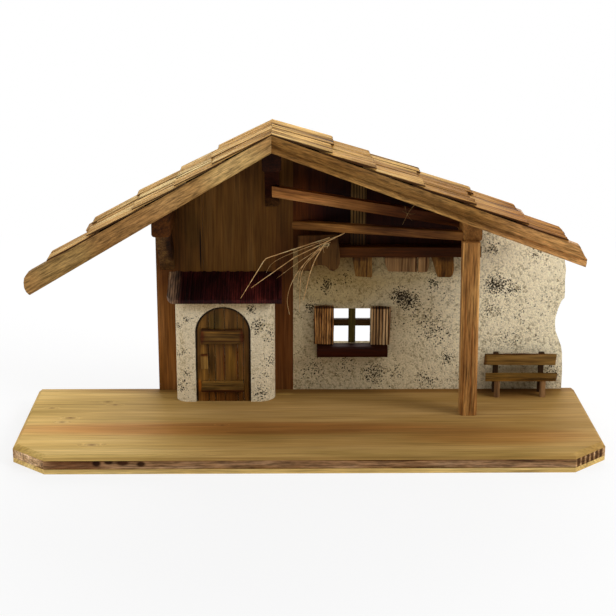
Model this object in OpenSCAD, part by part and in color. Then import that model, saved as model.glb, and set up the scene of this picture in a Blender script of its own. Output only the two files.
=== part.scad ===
// Wooden nativity stable: a lean timber and plaster barn on a base board

/* [Base] */
// Width of the base board
base_w = 600; // [590:1:660]
// Depth of the base board
base_d = 200; // [195:1:240]
// Thickness of the top layer and of the bottom layer
skin_t = 5; // [3:0.5:7]
// Thickness of the middle layer
core_t = 9; // [6:0.5:12]
// Width taken off each front corner
corner_w = 36; // [10:1:60]
// Depth taken off each front corner
corner_d = 32; // [10:1:50]
// Bevel round the top arris
base_bevel = 4.5; // [1:0.5:6]

/* [Walls] */
// Thickness of the back wall
wall_t = 7; // [5:0.5:9]
// Distance from the centre to the left edge of the timber front
timber_reach = 165; // [163:1:180]
// Width of the outer timber board
timber_board_w = 51.2; // [40:0.1:70]
// Distance from the centre to the joint between timber and plaster
plaster_offset = 16; // [12:1:20]
// Distance from the centre to the right edge of the plaster
plaster_reach = 284.2; // [278:0.1:292]
// Height of the broken stretch of the plaster's right edge
broken_h = 146; // [130:1:152]
// Depth of the deepest bite in the broken edge
bite = 11; // [2:0.5:14]
// Distance from the centre to the right edge of the upper back board
upper_board_reach = 183; // [180:1:186]

/* [Window] */
// Width of the window opening
window_w = 40.2; // [34:0.1:46]
// Height of the window opening
window_h = 39.8; // [34:0.1:46]
// Distance from the centre to the left edge of the opening
window_offset = 28.8; // [26:0.1:34]
// Height of the opening's lower edge above the base board
window_rise = 54.3; // [48:0.1:58]
// Width of the upright and the cross bar
bar_w = 7.6; // [5:0.1:9]
// Thickness of the upright and the cross bar
bar_t = 4.5; // [3:0.1:5]
// Width of each shutter
shutter_w = 22; // [15:0.1:24]
// Height of each shutter
shutter_h = 42.8; // [40:0.1:44]
// Thickness of each shutter
shutter_t = 8; // [5:0.1:10]
// Depth of the saw grooves on a shutter
saw_groove = 0.8; // [0.3:0.1:1.2]
// Width of the sill
sill_w = 77.5; // [60:0.1:84]
// Height of the sill
sill_h = 12.3; // [6:0.1:14]
// Depth of the sill
sill_d = 17; // [12:0.1:22]

/* [Porch] */
// Width of the porch block
porch_w = 107.3; // [100:0.1:112]
// Distance from the centre to the porch block's right side
porch_offset = 36; // [30:0.1:40]
// Depth of the porch block
porch_d = 39; // [30:0.1:46]
// Radius of the porch block's left front corner
porch_left_r = 14; // [6:0.5:16]
// Radius of the porch block's right front corner
porch_right_r = 18; // [6:0.5:22]
// Height of the canopy's back edge above the base board
canopy_rise = 137.5; // [134:0.5:142]
// Slope of the canopy in degrees
canopy_pitch = 22; // [16:1:24]
// Thickness of the canopy
canopy_t = 4.6; // [3:0.1:6]
// Overhang of the canopy beyond the block's front
canopy_front = 8; // [4:0.5:14]
// Overhang of the canopy at each side of the block
canopy_side = 7.6; // [3:0.1:10]
// Number of split ribs across the canopy
canopy_ribs = 24; // [10:1:30]
// Height of a rib
rib_h = 1.2; // [0.4:0.1:1.6]

/* [Door] */
// Width of the door
door_w = 58.3; // [50:0.1:62]
// Height of the door
door_h = 107; // [90:0.5:109]
// Rise of the door's arch
arch_rise = 26; // [15:0.5:29]
// Distance from the porch block's right side to the door
door_offset = 26.7; // [23:0.1:30]
// Depth of the door face behind the block's front
door_inset = 2; // [1:0.1:4]
// Thickness of the door planks
door_t = 4; // [2:0.1:6]
// Play between the door and its recess
door_play = 0.7; // [0.3:0.1:1.2]
// Groove between two door planks
plank_gap = 0.7; // [0.4:0.1:1.2]
// Length of the door battens
batten_len = 46.6; // [38:0.1:50]
// Width of the upper batten
upper_batten_w = 17.4; // [8:0.1:19]
// Width of the lower batten
lower_batten_w = 12.8; // [8:0.1:16]
// Thickness of the door battens and the lock block
batten_t = 3.4; // [2:0.1:5]
// Width of the lock block
lock_w = 7.8; // [5:0.1:10]
// Height of the lock block
lock_h = 16.6; // [10:0.1:22]

/* [Loft] */
// Height of the wall plate's underside above the base board
plate_rise = 155.5; // [152:0.5:160]
// Height of the wall plate
plate_h = 11.5; // [9:0.1:13]
// Depth of the wall plate
plate_d = 14; // [10:0.1:15]
// Distance from the timber front to the wall plate's left end
plate_start = 6; // [2:0.5:8]
// Thickness of the left apron board
apron_t = 4; // [3:0.1:6]
// Width of the left apron board
apron_w = 45.3; // [36:0.1:48]
// Height of the left apron board
apron_h = 40; // [32:0.1:44]
// Drop of the left apron below the wall plate
apron_drop = 13.8; // [10:0.1:16]
// Distance from the centre to the wider right apron board
apron_wide_offset = 83.6; // [80:0.1:90]
// Gap between the two right apron boards
apron_gap = 1.2; // [0.5:0.1:3]
// Width of the wider of the two right apron boards
apron_wide = 35.2; // [28:0.1:38]
// Width of the narrower of the two right apron boards
apron_narrow = 12.2; // [7:0.1:14]
// Height of the right apron boards
apron_low_h = 19; // [12:0.1:24]
// Height of the joist ends
joist_h = 22.3; // [14:0.1:24]
// Distance from the centre to the left joist end
joist_offset = 48.3; // [40:0.1:52]
// Width of the left joist end
joist_left_w = 21.2; // [14:0.1:24]
// Width of the right joist end
joist_right_w = 24.8; // [16:0.1:26]
// Height and depth of the upper rail
rail_upper_t = 11.3; // [8:0.1:13]
// Height and depth of the lower rail
rail_lower_t = 9.2; // [7:0.1:11]
// Distance from the timber front to the middle of the lower rail's wall end
rail_lower_start = 11; // [9:0.1:16]
// Height of the lower rail's wall end above the wall plate
rail_lower_rise = 21.3; // [18:0.1:26]
// Distance from the centre to the pale batten
loft_batten_offset = 46; // [40:0.1:52]
// Width of the pale batten on the upper back board
loft_batten_w = 16.5; // [10:0.1:20]
// Thickness of the pale batten
loft_batten_t = 3; // [2:0.1:5]

/* [Roof frame] */
// Height of the ridge above the base board
ridge_rise = 300.7; // [297:0.1:308]
// Distance of the ridge to the left of the centre
ridge_offset = 38.4; // [36:0.1:42]
// Slope of the left side in degrees
pitch_left = 29.6; // [29:0.1:30.5]
// Slope of the right side in degrees
pitch_right = 19.85; // [19.5:0.05:20.5]
// Depth of the roof from front to back
roof_d = 94; // [88:0.5:98]
// Thickness of the roof boards
deck_t = 7; // [5:0.1:9]
// Thickness of the front boards along the roof edge
barge_t = 12; // [9:0.1:14]
// Height of the front boards at the ridge
barge_h = 18; // [14:0.1:22]
// Height of the left front board at the eave
barge_left_h = 25; // [20:0.1:28]
// Height of the right front board at the eave
barge_right_h = 22.9; // [18:0.1:26]
// Distance along the ground from the ridge to the left eave
eave_left = 247.9; // [244:0.1:253]
// Distance along the ground from the ridge to the right eave
eave_right = 316.2; // [312:0.1:322]
// Width of the purlins
purlin_w = 19.6; // [14:0.1:22]
// Height of the left purlin
purlin_left_h = 34.5; // [28:0.1:38]
// Height of the ridge purlin
purlin_ridge_h = 31; // [26:0.1:34]
// Height of the right purlin
purlin_right_h = 29.4; // [26:0.1:34]
// Distance from the centre to the left purlin's middle
purlin_left_reach = 152.4; // [150:0.1:154.5]
// Distance from the centre to the right purlin's middle
purlin_right_reach = 169; // [166:0.1:171]
// Rounding of the purlins' lower corners
purlin_round = 3; // [1:0.1:5]
// Width of the knee braces
brace_w = 15.2; // [12:0.1:18]
// Rounding of the right corner at the foot of a knee brace
brace_round = 4.6; // [1:0.1:6]
// Thickness of the knee braces along the slope
brace_t = 16; // [12:0.1:18]
// Distance from the wall to the upper toe of a knee brace
brace_run = 61.5; // [50:0.1:66]
// Height that the ridge brace spans
brace_ridge_h = 53; // [46:0.1:58]
// Bevel along the lower front arris of the front boards
barge_bevel = 1.3; // [0.5:0.1:2]
// Distance from the roof's front to the post
post_set = 3; // [1:0.1:6]
// Depth of the post
post_d = 17.5; // [14:0.1:18]
// Width of the post
post_w = 18; // [14:0.1:22]
// Lean of the post's top to the left, in degrees
post_lean = 0.8; // [0:0.1:1.2]
// Bevel along the arrises of the post
post_bevel = 2; // [0.5:0.1:3]

/* [Shingles] */
// Thickness of a shingle at its butt
butt_t = 3.6; // [2.5:0.1:4]
// Thickness of a shingle at its upper end
head_t = 2; // [1:0.1:2.4]
// Length of a shingle that the next row covers
lap = 13; // [8:0.5:16]
// Gap between two shingles of a row
shingle_gap = 0.6; // [0.3:0.1:1.2]
// Depth of the split grooves on a shingle
split_groove = 0.7; // [0.3:0.1:0.9]
// Width of a split ridge on a shingle
split_w = 5.5; // [4:0.1:9]
// Step by which the roof boards run past the shingles above them
board_step = 2.7; // [1:0.1:4]
// Furthest that a butt stands out of its row's line
butt_stagger = 4; // [0:0.1:5]

/* [Bench] */
// Length of the bench seat
bench_len = 80; // [70:0.5:84]
// From the base's right end to the bench's seat
bench_inset = 25.5; // [22:0.5:30]
// Depth of the bench seat
seat_d = 18.3; // [14:0.1:22]
// Thickness of the bench seat
seat_t = 3.5; // [2.5:0.1:5]
// Height of the seat's top above the base board
seat_rise = 22.5; // [18:0.1:26]
// Height of the backrest board
backrest_h = 13; // [9:0.1:15]
// Thickness of the backrest board
backrest_t = 3; // [2:0.1:4]
// Height of the back posts above the backrest
post_show = 0.2; // [0:0.1:5]
// Height of the back posts
bench_post_h = 45.5; // [43:0.1:50]
// Side of the bench's posts and legs
bench_leg = 5.8; // [4:0.1:7]
// Space between the bench and the wall
bench_gap = 5; // [2:0.1:8]

/* [Straw] */
// Diameter of a straw
straw_dia = 1.1; // [0.8:0.1:1.5]
// Reach of the longest straw
straw_reach = 100; // [80:1:110]

/* [Hidden] */
$fn = 64;

// Overrun of every cut
over = 1;
// Seam between two boards of one group
seam = 0.3;
// Ease on the arrises of small timbers
ease = 0.8;
// Play between two pieces that nearly meet
play = 1;
// Turn in degrees from one irregular rib or groove to the next
swing = 137;

// Places that the driving sizes give
base_t = 2 * skin_t + core_t;
back_y = base_d / 2;
wall_y = back_y - wall_t;
roof_y = back_y - roof_d;
deck_y = roof_y + barge_t;
ridge_x = -ridge_offset;
ridge_z = base_t + ridge_rise;
timber_x = -timber_reach;
plaster_x = -plaster_offset;
plate_z = base_t + plate_rise;
plate_y = wall_y - plate_d;

// Height of the top face of the roof boards over a place on the ground
function roof_left(x) = ridge_z - (ridge_x - x) * tan(pitch_left);
function roof_right(x) = ridge_z - (x - ridge_x) * tan(pitch_right);
// Height of the underside of the roof boards
function soffit_left(x) = roof_left(x) - deck_t / cos(pitch_left);
function soffit_right(x) = roof_right(x) - deck_t / cos(pitch_right);
function soffit(x) = x < ridge_x ? soffit_left(x) : soffit_right(x);
// Outline along the underside of the roof from x1 back to x0
function under_roof(x0, x1) = [
    [x1, soffit(x1)],
    if (x0 < ridge_x && x1 > ridge_x)
        each [[ridge_x, soffit_right(ridge_x)], [ridge_x, soffit_left(ridge_x)]],
    [x0, soffit(x0)]];
// Outline points at shares of a width and a height, from a corner
function at_shares(corner, w, h, shares) = [for (s = shares) [corner[0] + w * s[0], corner[1] + h * s[1]]];
// Share between 0.2 and 1 that wavers from one whole number to the next
function waver(n) = 0.6 + 0.4 * sin(swing * n);
// Rectangle with eased corners between two opposite corners
function eased(x0, y0, x1, y1, e) = [[x0 + e, y0], [x1 - e, y0], [x1, y0 + e], [x1, y1 - e],
    [x1 - e, y1], [x0 + e, y1], [x0, y1 - e], [x0, y0 + e]];

// Outline seen from the front, given depth between y0 and y1
module upright(points, y0, y1) {
    translate([0, y1, 0]) rotate([90, 0, 0]) linear_extrude(y1 - y0) polygon(points);
}

// Outline seen from the left side, given width between x0 and x1
module sideways(points, x0, x1) {
    translate([x0, 0, 0]) rotate([90, 0, 90]) linear_extrude(x1 - x0) polygon(points);
}

// Square bar between two points, run on past both of them
module bar(a, b, side, reach) {
    d = b - a;
    translate(a) rotate([0, -asin(d[2] / norm(d)), atan2(d[1], d[0])])
        sideways(eased(-side / 2, -side / 2, side / 2, side / 2, ease), -reach, norm(d) + reach);
}

// Base board: three layers of timber glued face to face
base_outline = [[-base_w / 2, back_y], [-base_w / 2, -back_y + corner_d],
    [-base_w / 2 + corner_w, -back_y], [base_w / 2 - corner_w, -back_y],
    [base_w / 2, -back_y + corner_d], [base_w / 2, back_y]];
// Straight edge that the bevel leaves on the top layer
layer_edge = 0.5;
top_bevel = min(base_bevel, skin_t - layer_edge);

module base_top_layer() {
    color("#c9a46c") difference() {
        translate([0, 0, base_t - skin_t]) linear_extrude(skin_t) polygon(base_outline);
        for (i = [0:len(base_outline) - 1]) {
            p = base_outline[i];
            q = base_outline[(i + 1) % len(base_outline)];
            translate([p[0], p[1], base_t - top_bevel]) rotate([0, 0, atan2(q[1] - p[1], q[0] - p[0])])
                rotate([45, 0, 0]) translate([-skin_t, -over, 0])
                cube([norm(q - p) + 2 * skin_t, 2 * skin_t + over, skin_t]);
        }
    }
}

module base_core_layer() {
    color("#8a5a32") translate([0, 0, skin_t]) linear_extrude(core_t) polygon(base_outline);
}

module base_bottom_layer() {
    color("#d8bb86") linear_extrude(skin_t) polygon(base_outline);
}

// Back wall: two timber boards, a plastered board and a dark board above it
timber_joint_x = timber_x + timber_board_w;
module facade_boards() {
    sides = [[timber_x, timber_joint_x - seam / 2], [timber_joint_x + seam / 2, plaster_x]];
    color("#5a3c1e") for (s = sides)
        upright(concat([[s[0], base_t], [s[1], base_t]], under_roof(s[0], s[1])), wall_y, back_y);
}

// Broken right edge from the base up: shares of the bite and of the broken height
broken_shares = [[0, 0], [0, 0.142], [0.11, 0.288], [0.25, 0.344], [0.55, 0.4], [0.89, 0.464], [0.98, 0.519],
    [0.96, 0.575], [0.75, 0.638], [0.45, 0.701], [0.16, 0.725], [0.15, 0.779], [0.21, 0.858], [0.17, 0.951],
    [0.31, 1], [0.45, 1.07], [0.84, 1.137], [1.45, 1.205]];
upper_board_z = plate_z + plate_h / 2;
wall_end_x = plaster_reach - 2 * bite;
window_z = base_t + window_rise;
module plaster_wall() {
    color("#d9cfb4") difference() {
        upright(concat([[plaster_x, base_t]],
            at_shares([plaster_reach, base_t], -bite, broken_h, broken_shares),
            under_roof(upper_board_reach, wall_end_x),
            [[upper_board_reach, upper_board_z], [plaster_x, upper_board_z]]), wall_y, back_y);
        translate([window_offset, wall_y - over, window_z]) cube([window_w, wall_t + 2 * over, window_h]);
    }
}

module upper_back_board() {
    color("#3a2614") upright(concat([[plaster_x, upper_board_z], [upper_board_reach, upper_board_z]],
        under_roof(plaster_x, upper_board_reach)), wall_y, back_y);
}

// Window cross: two bars halved into each other near the back of the opening
cross_y = back_y - bar_t - ease;
mullion_x = window_offset + window_w / 2 - bar_w / 2;
transom_share = 0.585;
transom_z = window_z + window_h * transom_share - bar_w / 2;

module window_mullion() {
    color("#8a6233") difference() {
        translate([mullion_x, cross_y, window_z]) cube([bar_w, bar_t, window_h]);
        translate([mullion_x - over, cross_y + bar_t / 2, transom_z]) cube([bar_w + 2 * over, bar_t, bar_w]);
    }
}

module window_transom() {
    color("#8a6233") difference() {
        translate([window_offset, cross_y, transom_z]) cube([window_w, bar_t, bar_w]);
        translate([mullion_x, cross_y - bar_t / 2, transom_z - over]) cube([bar_w, bar_t, bar_w + 2 * over]);
    }
}

// Shutter seen from above: a board with saw grooves down its front
saw_grooves = 6;
// Places of the grooves across the shutter and their depths
groove_shares = [[0.09, 0.6], [0.24, 1], [0.41, 0.5], [0.58, 0.9], [0.73, 0.6], [0.9, 1]];
module shutter(x, z, shares) {
    pitch = shutter_w / saw_grooves;
    intersection() {
        translate([x, wall_y, z]) linear_extrude(shutter_h) polygon(concat(
            [[0, 0], [0, -shutter_t + ease]],
            [for (g = groove_shares, k = [-1, 0, 1])
                [shutter_w * g[0] + k * pitch / 4, -shutter_t + (k == 0 ? saw_groove * g[1] : 0)]],
            [[shutter_w, -shutter_t + ease], [shutter_w, 0]]));
        upright(at_shares([x, z], shutter_w, shutter_h, shares), wall_y - 2 * shutter_t, wall_y + over);
    }
}

// Outlines of the two hand-sawn shutters
shutter_left_shares = [[0.02, 0.01], [0.97, 0], [1, 0.5], [0.98, 0.99], [0.5, 1], [0.02, 0.98], [0, 0.6]];
shutter_right_shares = [[0, 0.01], [0.95, 0], [0.98, 0.45], [1, 0.97], [0.45, 1], [0.03, 0.99], [0.01, 0.4]];
shutter_left_lift_share = 0.02;
module shutter_left() {
    color("#6b4420") shutter(window_offset - shutter_w, window_z + window_h * shutter_left_lift_share,
        shutter_left_shares);
}

module shutter_right() {
    color("#6b4420") shutter(window_offset + window_w, window_z, shutter_right_shares);
}

// Sill: half a log with its round side to the front
sill_x = window_offset + window_w / 2 - sill_w / 2;
sill_z = window_z - sill_h - seam;
sill_shares = [[0, 0], [0, 1], [0.72, 1], [0.93, 0.9], [1, 0.66], [0.97, 0.3], [0.84, 0.06], [0.6, 0]];
module window_sill() {
    color("#3d1c10") sideways(at_shares([wall_y, sill_z], -sill_d, sill_h, sill_shares),
        sill_x, sill_x + sill_w);
}

// Porch: a plastered block under a sloping canopy
porch_right = -porch_offset;
porch_left = porch_right - porch_w;
porch_y = wall_y - porch_d;
canopy_z = base_t + canopy_rise;
canopy_drop = canopy_t / cos(canopy_pitch);
function canopy_under(y) = canopy_z - canopy_drop - (wall_y - y) * tan(canopy_pitch);

// The block seen from above
module porch_plan() {
    difference() {
        translate([porch_left, porch_y]) square([porch_w, porch_d]);
        translate([porch_left - over, porch_y - over]) square(porch_left_r + over);
        translate([porch_right - porch_right_r, porch_y - over]) square(porch_right_r + over);
    }
    translate([porch_left + porch_left_r, porch_y + porch_left_r]) circle(porch_left_r);
    translate([porch_right - porch_right_r, porch_y + porch_right_r]) circle(porch_right_r);
}

door_right = porch_right - door_offset;
door_left = door_right - door_w;
arch_r = (door_w * door_w / 4 + arch_rise * arch_rise) / (2 * arch_rise);
// The door's arched outline, grown by a margin
module door_shape(margin) {
    spring = door_h - arch_rise;
    intersection() {
        union() {
            translate([door_left - margin, base_t - margin]) square([door_w + 2 * margin, spring + margin]);
            translate([(door_left + door_right) / 2, base_t + door_h - arch_r]) circle(arch_r + margin);
        }
        translate([door_left - margin, base_t - margin])
            square([door_w + 2 * margin, door_h + 2 * margin]);
    }
}

door_y = porch_y + door_inset;
module porch_block() {
    color("#d9cfb4") difference() {
        intersection() {
            translate([0, 0, base_t]) linear_extrude(canopy_rise) porch_plan();
            sideways([[porch_y - over, base_t], [wall_y, base_t], [wall_y, canopy_under(wall_y)],
                [porch_y - over, canopy_under(porch_y - over)]], porch_left - over, porch_right + over);
        }
        translate([0, door_y + door_t, 0]) rotate([90, 0, 0]) linear_extrude(door_inset + door_t + over)
            door_shape(door_play);
    }
}

// Canopy: a split slab whose ribs run down the slope
// Across each rib: its foot, its crest and where it starts to fall again
rib_shares = [0, 0.35, 0.8];
// Broken corner at the front of its left end
canopy_end_shares = [[0, 1.2], [0.08, 0.75], [0.4, 0.22], [0.75, 0]];
module porch_canopy() {
    x0 = porch_left - canopy_side;
    w = porch_w + 2 * canopy_side;
    rib = w / canopy_ribs;
    color("#2a1210") intersection() {
        translate([0, wall_y, canopy_z - canopy_drop]) rotate([canopy_pitch, 0, 0])
            upright(concat([[x0, 0]],
                [for (i = [0:canopy_ribs - 1], k = rib_shares)
                    [x0 + rib * (i + k), canopy_t - rib_h * (k == 0 ? 1 : waver(i + k))]],
                [[x0 + w, canopy_t - rib_h], [x0 + w, 0]]), -2 * porch_d, porch_d);
        translate([0, 0, base_t]) linear_extrude(canopy_rise + canopy_t)
            polygon(concat(at_shares([x0, porch_y - canopy_front], canopy_front, canopy_front,
                canopy_end_shares), [[x0 + w, porch_y - canopy_front], [x0 + w, wall_y], [x0, wall_y]]));
    }
}

// Door: upright planks cut to the arch, two battens and a lock block
plank_shares = [0, 0.23, 0.35, 0.526, 0.768, 0.875, 1];
plank_step_shares = [0.3, 0, 0.2, 0.05, 0.25, 0.1];
module door_planks() {
    color("#6e4a22") for (i = [0:len(plank_shares) - 2]) {
        x0 = door_left + door_w * plank_shares[i] + (i == 0 ? 0 : plank_gap / 2);
        x1 = door_left + door_w * plank_shares[i + 1] - (i == len(plank_shares) - 2 ? 0 : plank_gap / 2);
        face = door_y + plank_gap * plank_step_shares[i];
        translate([0, door_y + door_t, 0]) rotate([90, 0, 0]) linear_extrude(door_y + door_t - face)
            intersection() {
                door_shape(0);
                translate([x0, base_t]) square([x1 - x0, door_h]);
            }
    }
}

batten_share = 0.085;
batten_x = door_left + door_w * batten_share;
// Hand-cut outlines of the battens and the lock block
upper_batten_shares = [[0.02, 0], [0.98, 0.03], [1, 0.5], [0.96, 0.97], [0.5, 0.9], [0.03, 1], [0, 0.45]];
lower_batten_shares = [[0, 0.02], [0.99, 0], [1, 0.6], [0.97, 1], [0.4, 0.93], [0.02, 0.96]];
lock_shares = [[0.05, 0], [1, 0.03], [0.95, 1], [0, 0.97]];
upper_batten_share = 0.617;
lower_batten_share = 0.107;
lock_share = 0.354;
module on_door(h_share, w, h, shares) {
    upright(at_shares([batten_x, base_t + door_h * h_share], w, h, shares), door_y - batten_t, door_y);
}

module door_upper_batten() {
    color("#5b3518") on_door(upper_batten_share, batten_len, upper_batten_w, upper_batten_shares);
}

module door_lower_batten() {
    color("#5b3518") on_door(lower_batten_share, batten_len, lower_batten_w, lower_batten_shares);
}

module door_lock_block() {
    color("#7a5226") on_door(lock_share, lock_w, lock_h, lock_shares);
}

// Wall plate: the beam along the top of the plaster
plate_x = plaster_x + plate_start;
plate_end_x = purlin_right_reach + post_w;
module wall_plate() {
    color("#3a2012") sideways(eased(plate_y, plate_z, wall_y, plate_z + plate_h, ease), plate_x, plate_end_x);
}

// Height of the purlins' undersides and of the foot of each knee brace
purlin_left_x = -purlin_left_reach;
purlin_left_z = soffit(purlin_left_x) - purlin_left_h;
purlin_ridge_z = soffit_left(ridge_x) - purlin_ridge_h;
purlin_right_z = soffit(purlin_right_reach) - purlin_right_h;
purlin_face_x = purlin_right_reach - purlin_w / 2;
brace_left_foot = canopy_z + play;
brace_ridge_foot = purlin_ridge_z - brace_ridge_h;

// Points of a quarter circle that turns on from an angle
function quarter(x, z, r, turn) = [for (a = [turn:15:turn + 90]) [x + r * cos(a), z + r * sin(a)]];

// Knee brace: cut level under its purlin and upright on the wall
module brace(x, foot_z, top_z) {
    slope = (top_z - foot_z) / brace_run;
    heel = brace_t / cos(atan(slope));
    x0 = x - brace_w / 2;
    x1 = x + brace_w / 2;
    intersection() {
        sideways([[wall_y, foot_z], [wall_y, foot_z + heel], [wall_y - brace_run + heel / slope, top_z],
            [wall_y - brace_run, top_z]], x0 - over, x1 + over);
        upright(concat([[x0, foot_z]], quarter(x1 - brace_round, foot_z + brace_round, brace_round, -90),
            [[x1, top_z + over], [x0, top_z + over]]), wall_y - brace_run - over, wall_y + over);
    }
}

// Purlin: level below with rounded corners, bevelled to the slope of the roof above
module purlin(x, z) {
    x0 = x - purlin_w / 2;
    x1 = x + purlin_w / 2;
    r = purlin_round;
    upright(concat(quarter(x0 + r, z + r, r, 180), quarter(x1 - r, z + r, r, 270), under_roof(x0, x1)),
        deck_y, wall_y);
}

module purlin_left() {
    color("#4a2a16") purlin(purlin_left_x, purlin_left_z);
}

module purlin_ridge() {
    color("#4a2a16") purlin(ridge_x, purlin_ridge_z);
}

module purlin_right() {
    color("#5b3518") purlin(purlin_right_reach, purlin_right_z);
}

module brace_left() {
    color("#4a2a16") brace(purlin_left_x, brace_left_foot, purlin_left_z);
}

module brace_ridge() {
    color("#4a2a16") brace(ridge_x, brace_ridge_foot, purlin_ridge_z);
}

// Post: leans a little, cut level at its foot and under the purlin
post_plumb_share = 0.27;
module post() {
    run = purlin_right_z - base_t;
    y0 = roof_y + post_set;
    color("#7a4a26") intersection() {
        translate([purlin_right_reach, 0, base_t + run * post_plumb_share]) rotate([0, -post_lean, 0])
            translate([0, 0, -run]) linear_extrude(2 * run)
            polygon(eased(-post_w / 2, y0, post_w / 2, y0 + post_d, post_bevel));
        translate([purlin_right_reach - post_w, roof_y, base_t]) cube([2 * post_w, roof_d, run]);
    }
}

// Upper rail: notched round the ridge brace, butted against the right purlin
rail_upper_share = 0.465;
rail_upper_end_share = 0.39;
rail_bite_share = 0.9;
module loft_rail_upper() {
    z0 = brace_ridge_foot + brace_ridge_h * rail_upper_share;
    z1 = purlin_right_z + purlin_right_h * rail_upper_end_share;
    y0 = wall_y - brace_run * rail_upper_share - rail_upper_t * rail_bite_share;
    half = rail_upper_t / 2;
    color("#4a2c14") difference() {
        upright([[ridge_x, z0 - half], [purlin_face_x, z1 - half], [purlin_face_x, z1 + half],
            [ridge_x, z0 + half]], y0, y0 + rail_upper_t);
        brace_ridge();
    }
}

// Lower rail: from the wall to the front of the right purlin
rail_lower_end_share = 0.13;
module loft_rail_lower() {
    a = [plaster_x + rail_lower_start, wall_y, plate_z + plate_h + rail_lower_rise];
    b = [purlin_face_x, deck_y + rail_lower_t, purlin_right_z + purlin_right_h * rail_lower_end_share];
    color("#4a2c14") intersection() {
        bar(a, b, rail_lower_t, plate_d + rail_lower_t);
        translate([ridge_x, deck_y, plate_z])
            cube([purlin_face_x - ridge_x, wall_y - deck_y, ridge_rise - plate_rise]);
    }
}

module loft_batten() {
    color("#8d6c45") upright(concat([[loft_batten_offset, plate_z + plate_h],
        [loft_batten_offset + loft_batten_w, plate_z + plate_h]],
        under_roof(loft_batten_offset, loft_batten_offset + loft_batten_w)), wall_y - loft_batten_t, wall_y);
}

// Aprons: the left one covers the front of the wall plate, the right ones hang below it
apron_x = plate_x - ease;
apron_z = plate_z - apron_drop;
apron_shares = [[0, 0.012], [0.287, 0], [0.32, 0.06], [0.358, 0.125], [0.45, 0.16], [0.572, 0.165],
    [0.64, 0.15], [0.691, 0.11], [0.73, 0.05], [0.764, 0.025], [0.82, 0], [0.87, 0.015], [0.92, 0.05],
    [0.954, 0.095], [0.985, 0.2], [1, 0.345], [0.95, 0.845], [0.93, 1], [0, 0.97]];
module apron_board_left() {
    color("#4e2d18") upright(at_shares([apron_x, apron_z], apron_w, apron_h, apron_shares),
        plate_y - apron_t, plate_y);
}

wide_shares = [[0.11, 0.04], [1, 0], [1, 1], [0, 1], [0, 0.5]];
narrow_shares = [[0, 0], [0.8, 0.01], [1, 0.34], [1, 1], [0, 1]];
narrow_x = apron_wide_offset + apron_wide + apron_gap;
module apron_boards_right() {
    color("#4e2d18") {
        upright(at_shares([apron_wide_offset, plate_z - apron_low_h], apron_wide, apron_low_h, wide_shares),
            wall_y - apron_t, wall_y);
        upright(at_shares([narrow_x, plate_z - apron_low_h], apron_narrow, apron_low_h, narrow_shares),
            wall_y - apron_t, wall_y);
    }
}

joist_left_shares = [[0.14, 0.05], [0.94, 0], [1, 0.04], [0.98, 1], [0, 1], [0.03, 0.7]];
joist_right_shares = [[0.28, 0.03], [0.36, 0], [0.86, 0], [0.95, 0.12], [1, 0.36], [0.97, 1], [0, 1],
    [0.1, 0.68]];
module joist_ends() {
    color("#5a3418") {
        upright(at_shares([joist_offset, plate_z - joist_h], joist_left_w, joist_h, joist_left_shares),
            plate_y + ease, wall_y);
        upright(at_shares([narrow_x + apron_narrow + play, plate_z - joist_h], joist_right_w, joist_h,
            joist_right_shares), plate_y + ease, wall_y);
    }
}

// Front boards: flush with the roof boards' top face, narrow at the ridge, with a shaped nose at the eave
nose_left_shares = [[0, 0], [-0.14, -0.1], [-0.256, -0.252], [-0.29, -0.45], [-0.28, -0.68], [-0.2, -0.86],
    [-0.07, -1]];
nose_right_shares = [[0, 0], [0.253, -0.463], [0.424, -0.694], [0.41, -0.834], [0.328, -1]];
module barge_board(reach, eave_h, eave_z, shares) {
    nose = at_shares([ridge_x + reach, eave_z], eave_h, eave_h, shares);
    tip = nose[len(nose) - 1];
    root = [ridge_x, ridge_z - barge_h];
    difference() {
        upright(concat([[ridge_x, ridge_z]], nose, [root]), roof_y, deck_y);
        translate([tip[0], roof_y, tip[1]]) rotate([0, -atan2(root[1] - tip[1], root[0] - tip[0]), 0])
            translate([-barge_h, 0, 0]) rotate([45, 0, 0])
            translate([0, barge_bevel / sqrt(2) - barge_h, -barge_h / 2])
            cube([norm(root - tip) + 2 * barge_h, barge_h, barge_h]);
    }
}

module barge_board_left() {
    color("#8a6230") barge_board(-eave_left, barge_left_h, roof_left(ridge_x - eave_left), nose_left_shares);
}

module barge_board_right() {
    color("#8a6230") barge_board(eave_right, barge_right_h, roof_right(ridge_x + eave_right),
        nose_right_shares);
}

// Slopes of the roof: the left one is side 0 and the right one is side 1
pitches = [pitch_left, pitch_right];
slope_len = [eave_left / cos(pitch_left), eave_right / cos(pitch_right)];
// Where the butts of each row lie, as shares of the slope from the ridge to the eave
butt_shares = [[0.234, 0.392, 0.565, 0.756, 0.926], [0.19, 0.331, 0.489, 0.657, 0.828, 0.96]];
// Where the last row of each side stops, as a share of the roof's depth
short_shares = [0.383, 0.64];
// Joints between the shingles of each row, as shares of the roof's depth
joint_shares = [[[0, 0.35, 0.71, 1], [0, 0.31, 0.64, 1], [0, 0.4, 0.7, 1], [0, short_shares[0], 0.68, 1],
    [0, short_shares[0]]],
    [[0, 0.47, 1], [0, 0.33, 0.68, 1], [0, 0.42, 0.74, 1], [0, 0.3, 0.62, 1], [0, short_shares[1], 1],
    [0, 0.32, short_shares[1]]]];
// How far each roof board runs past the butts of its row, in steps
board_steps = [[1, 3, 4.5], [1, 1.5, 3]];
board_joint_shares = [[short_shares[0], 0.68, 1], [0.35, short_shares[1], 1]];

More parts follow.
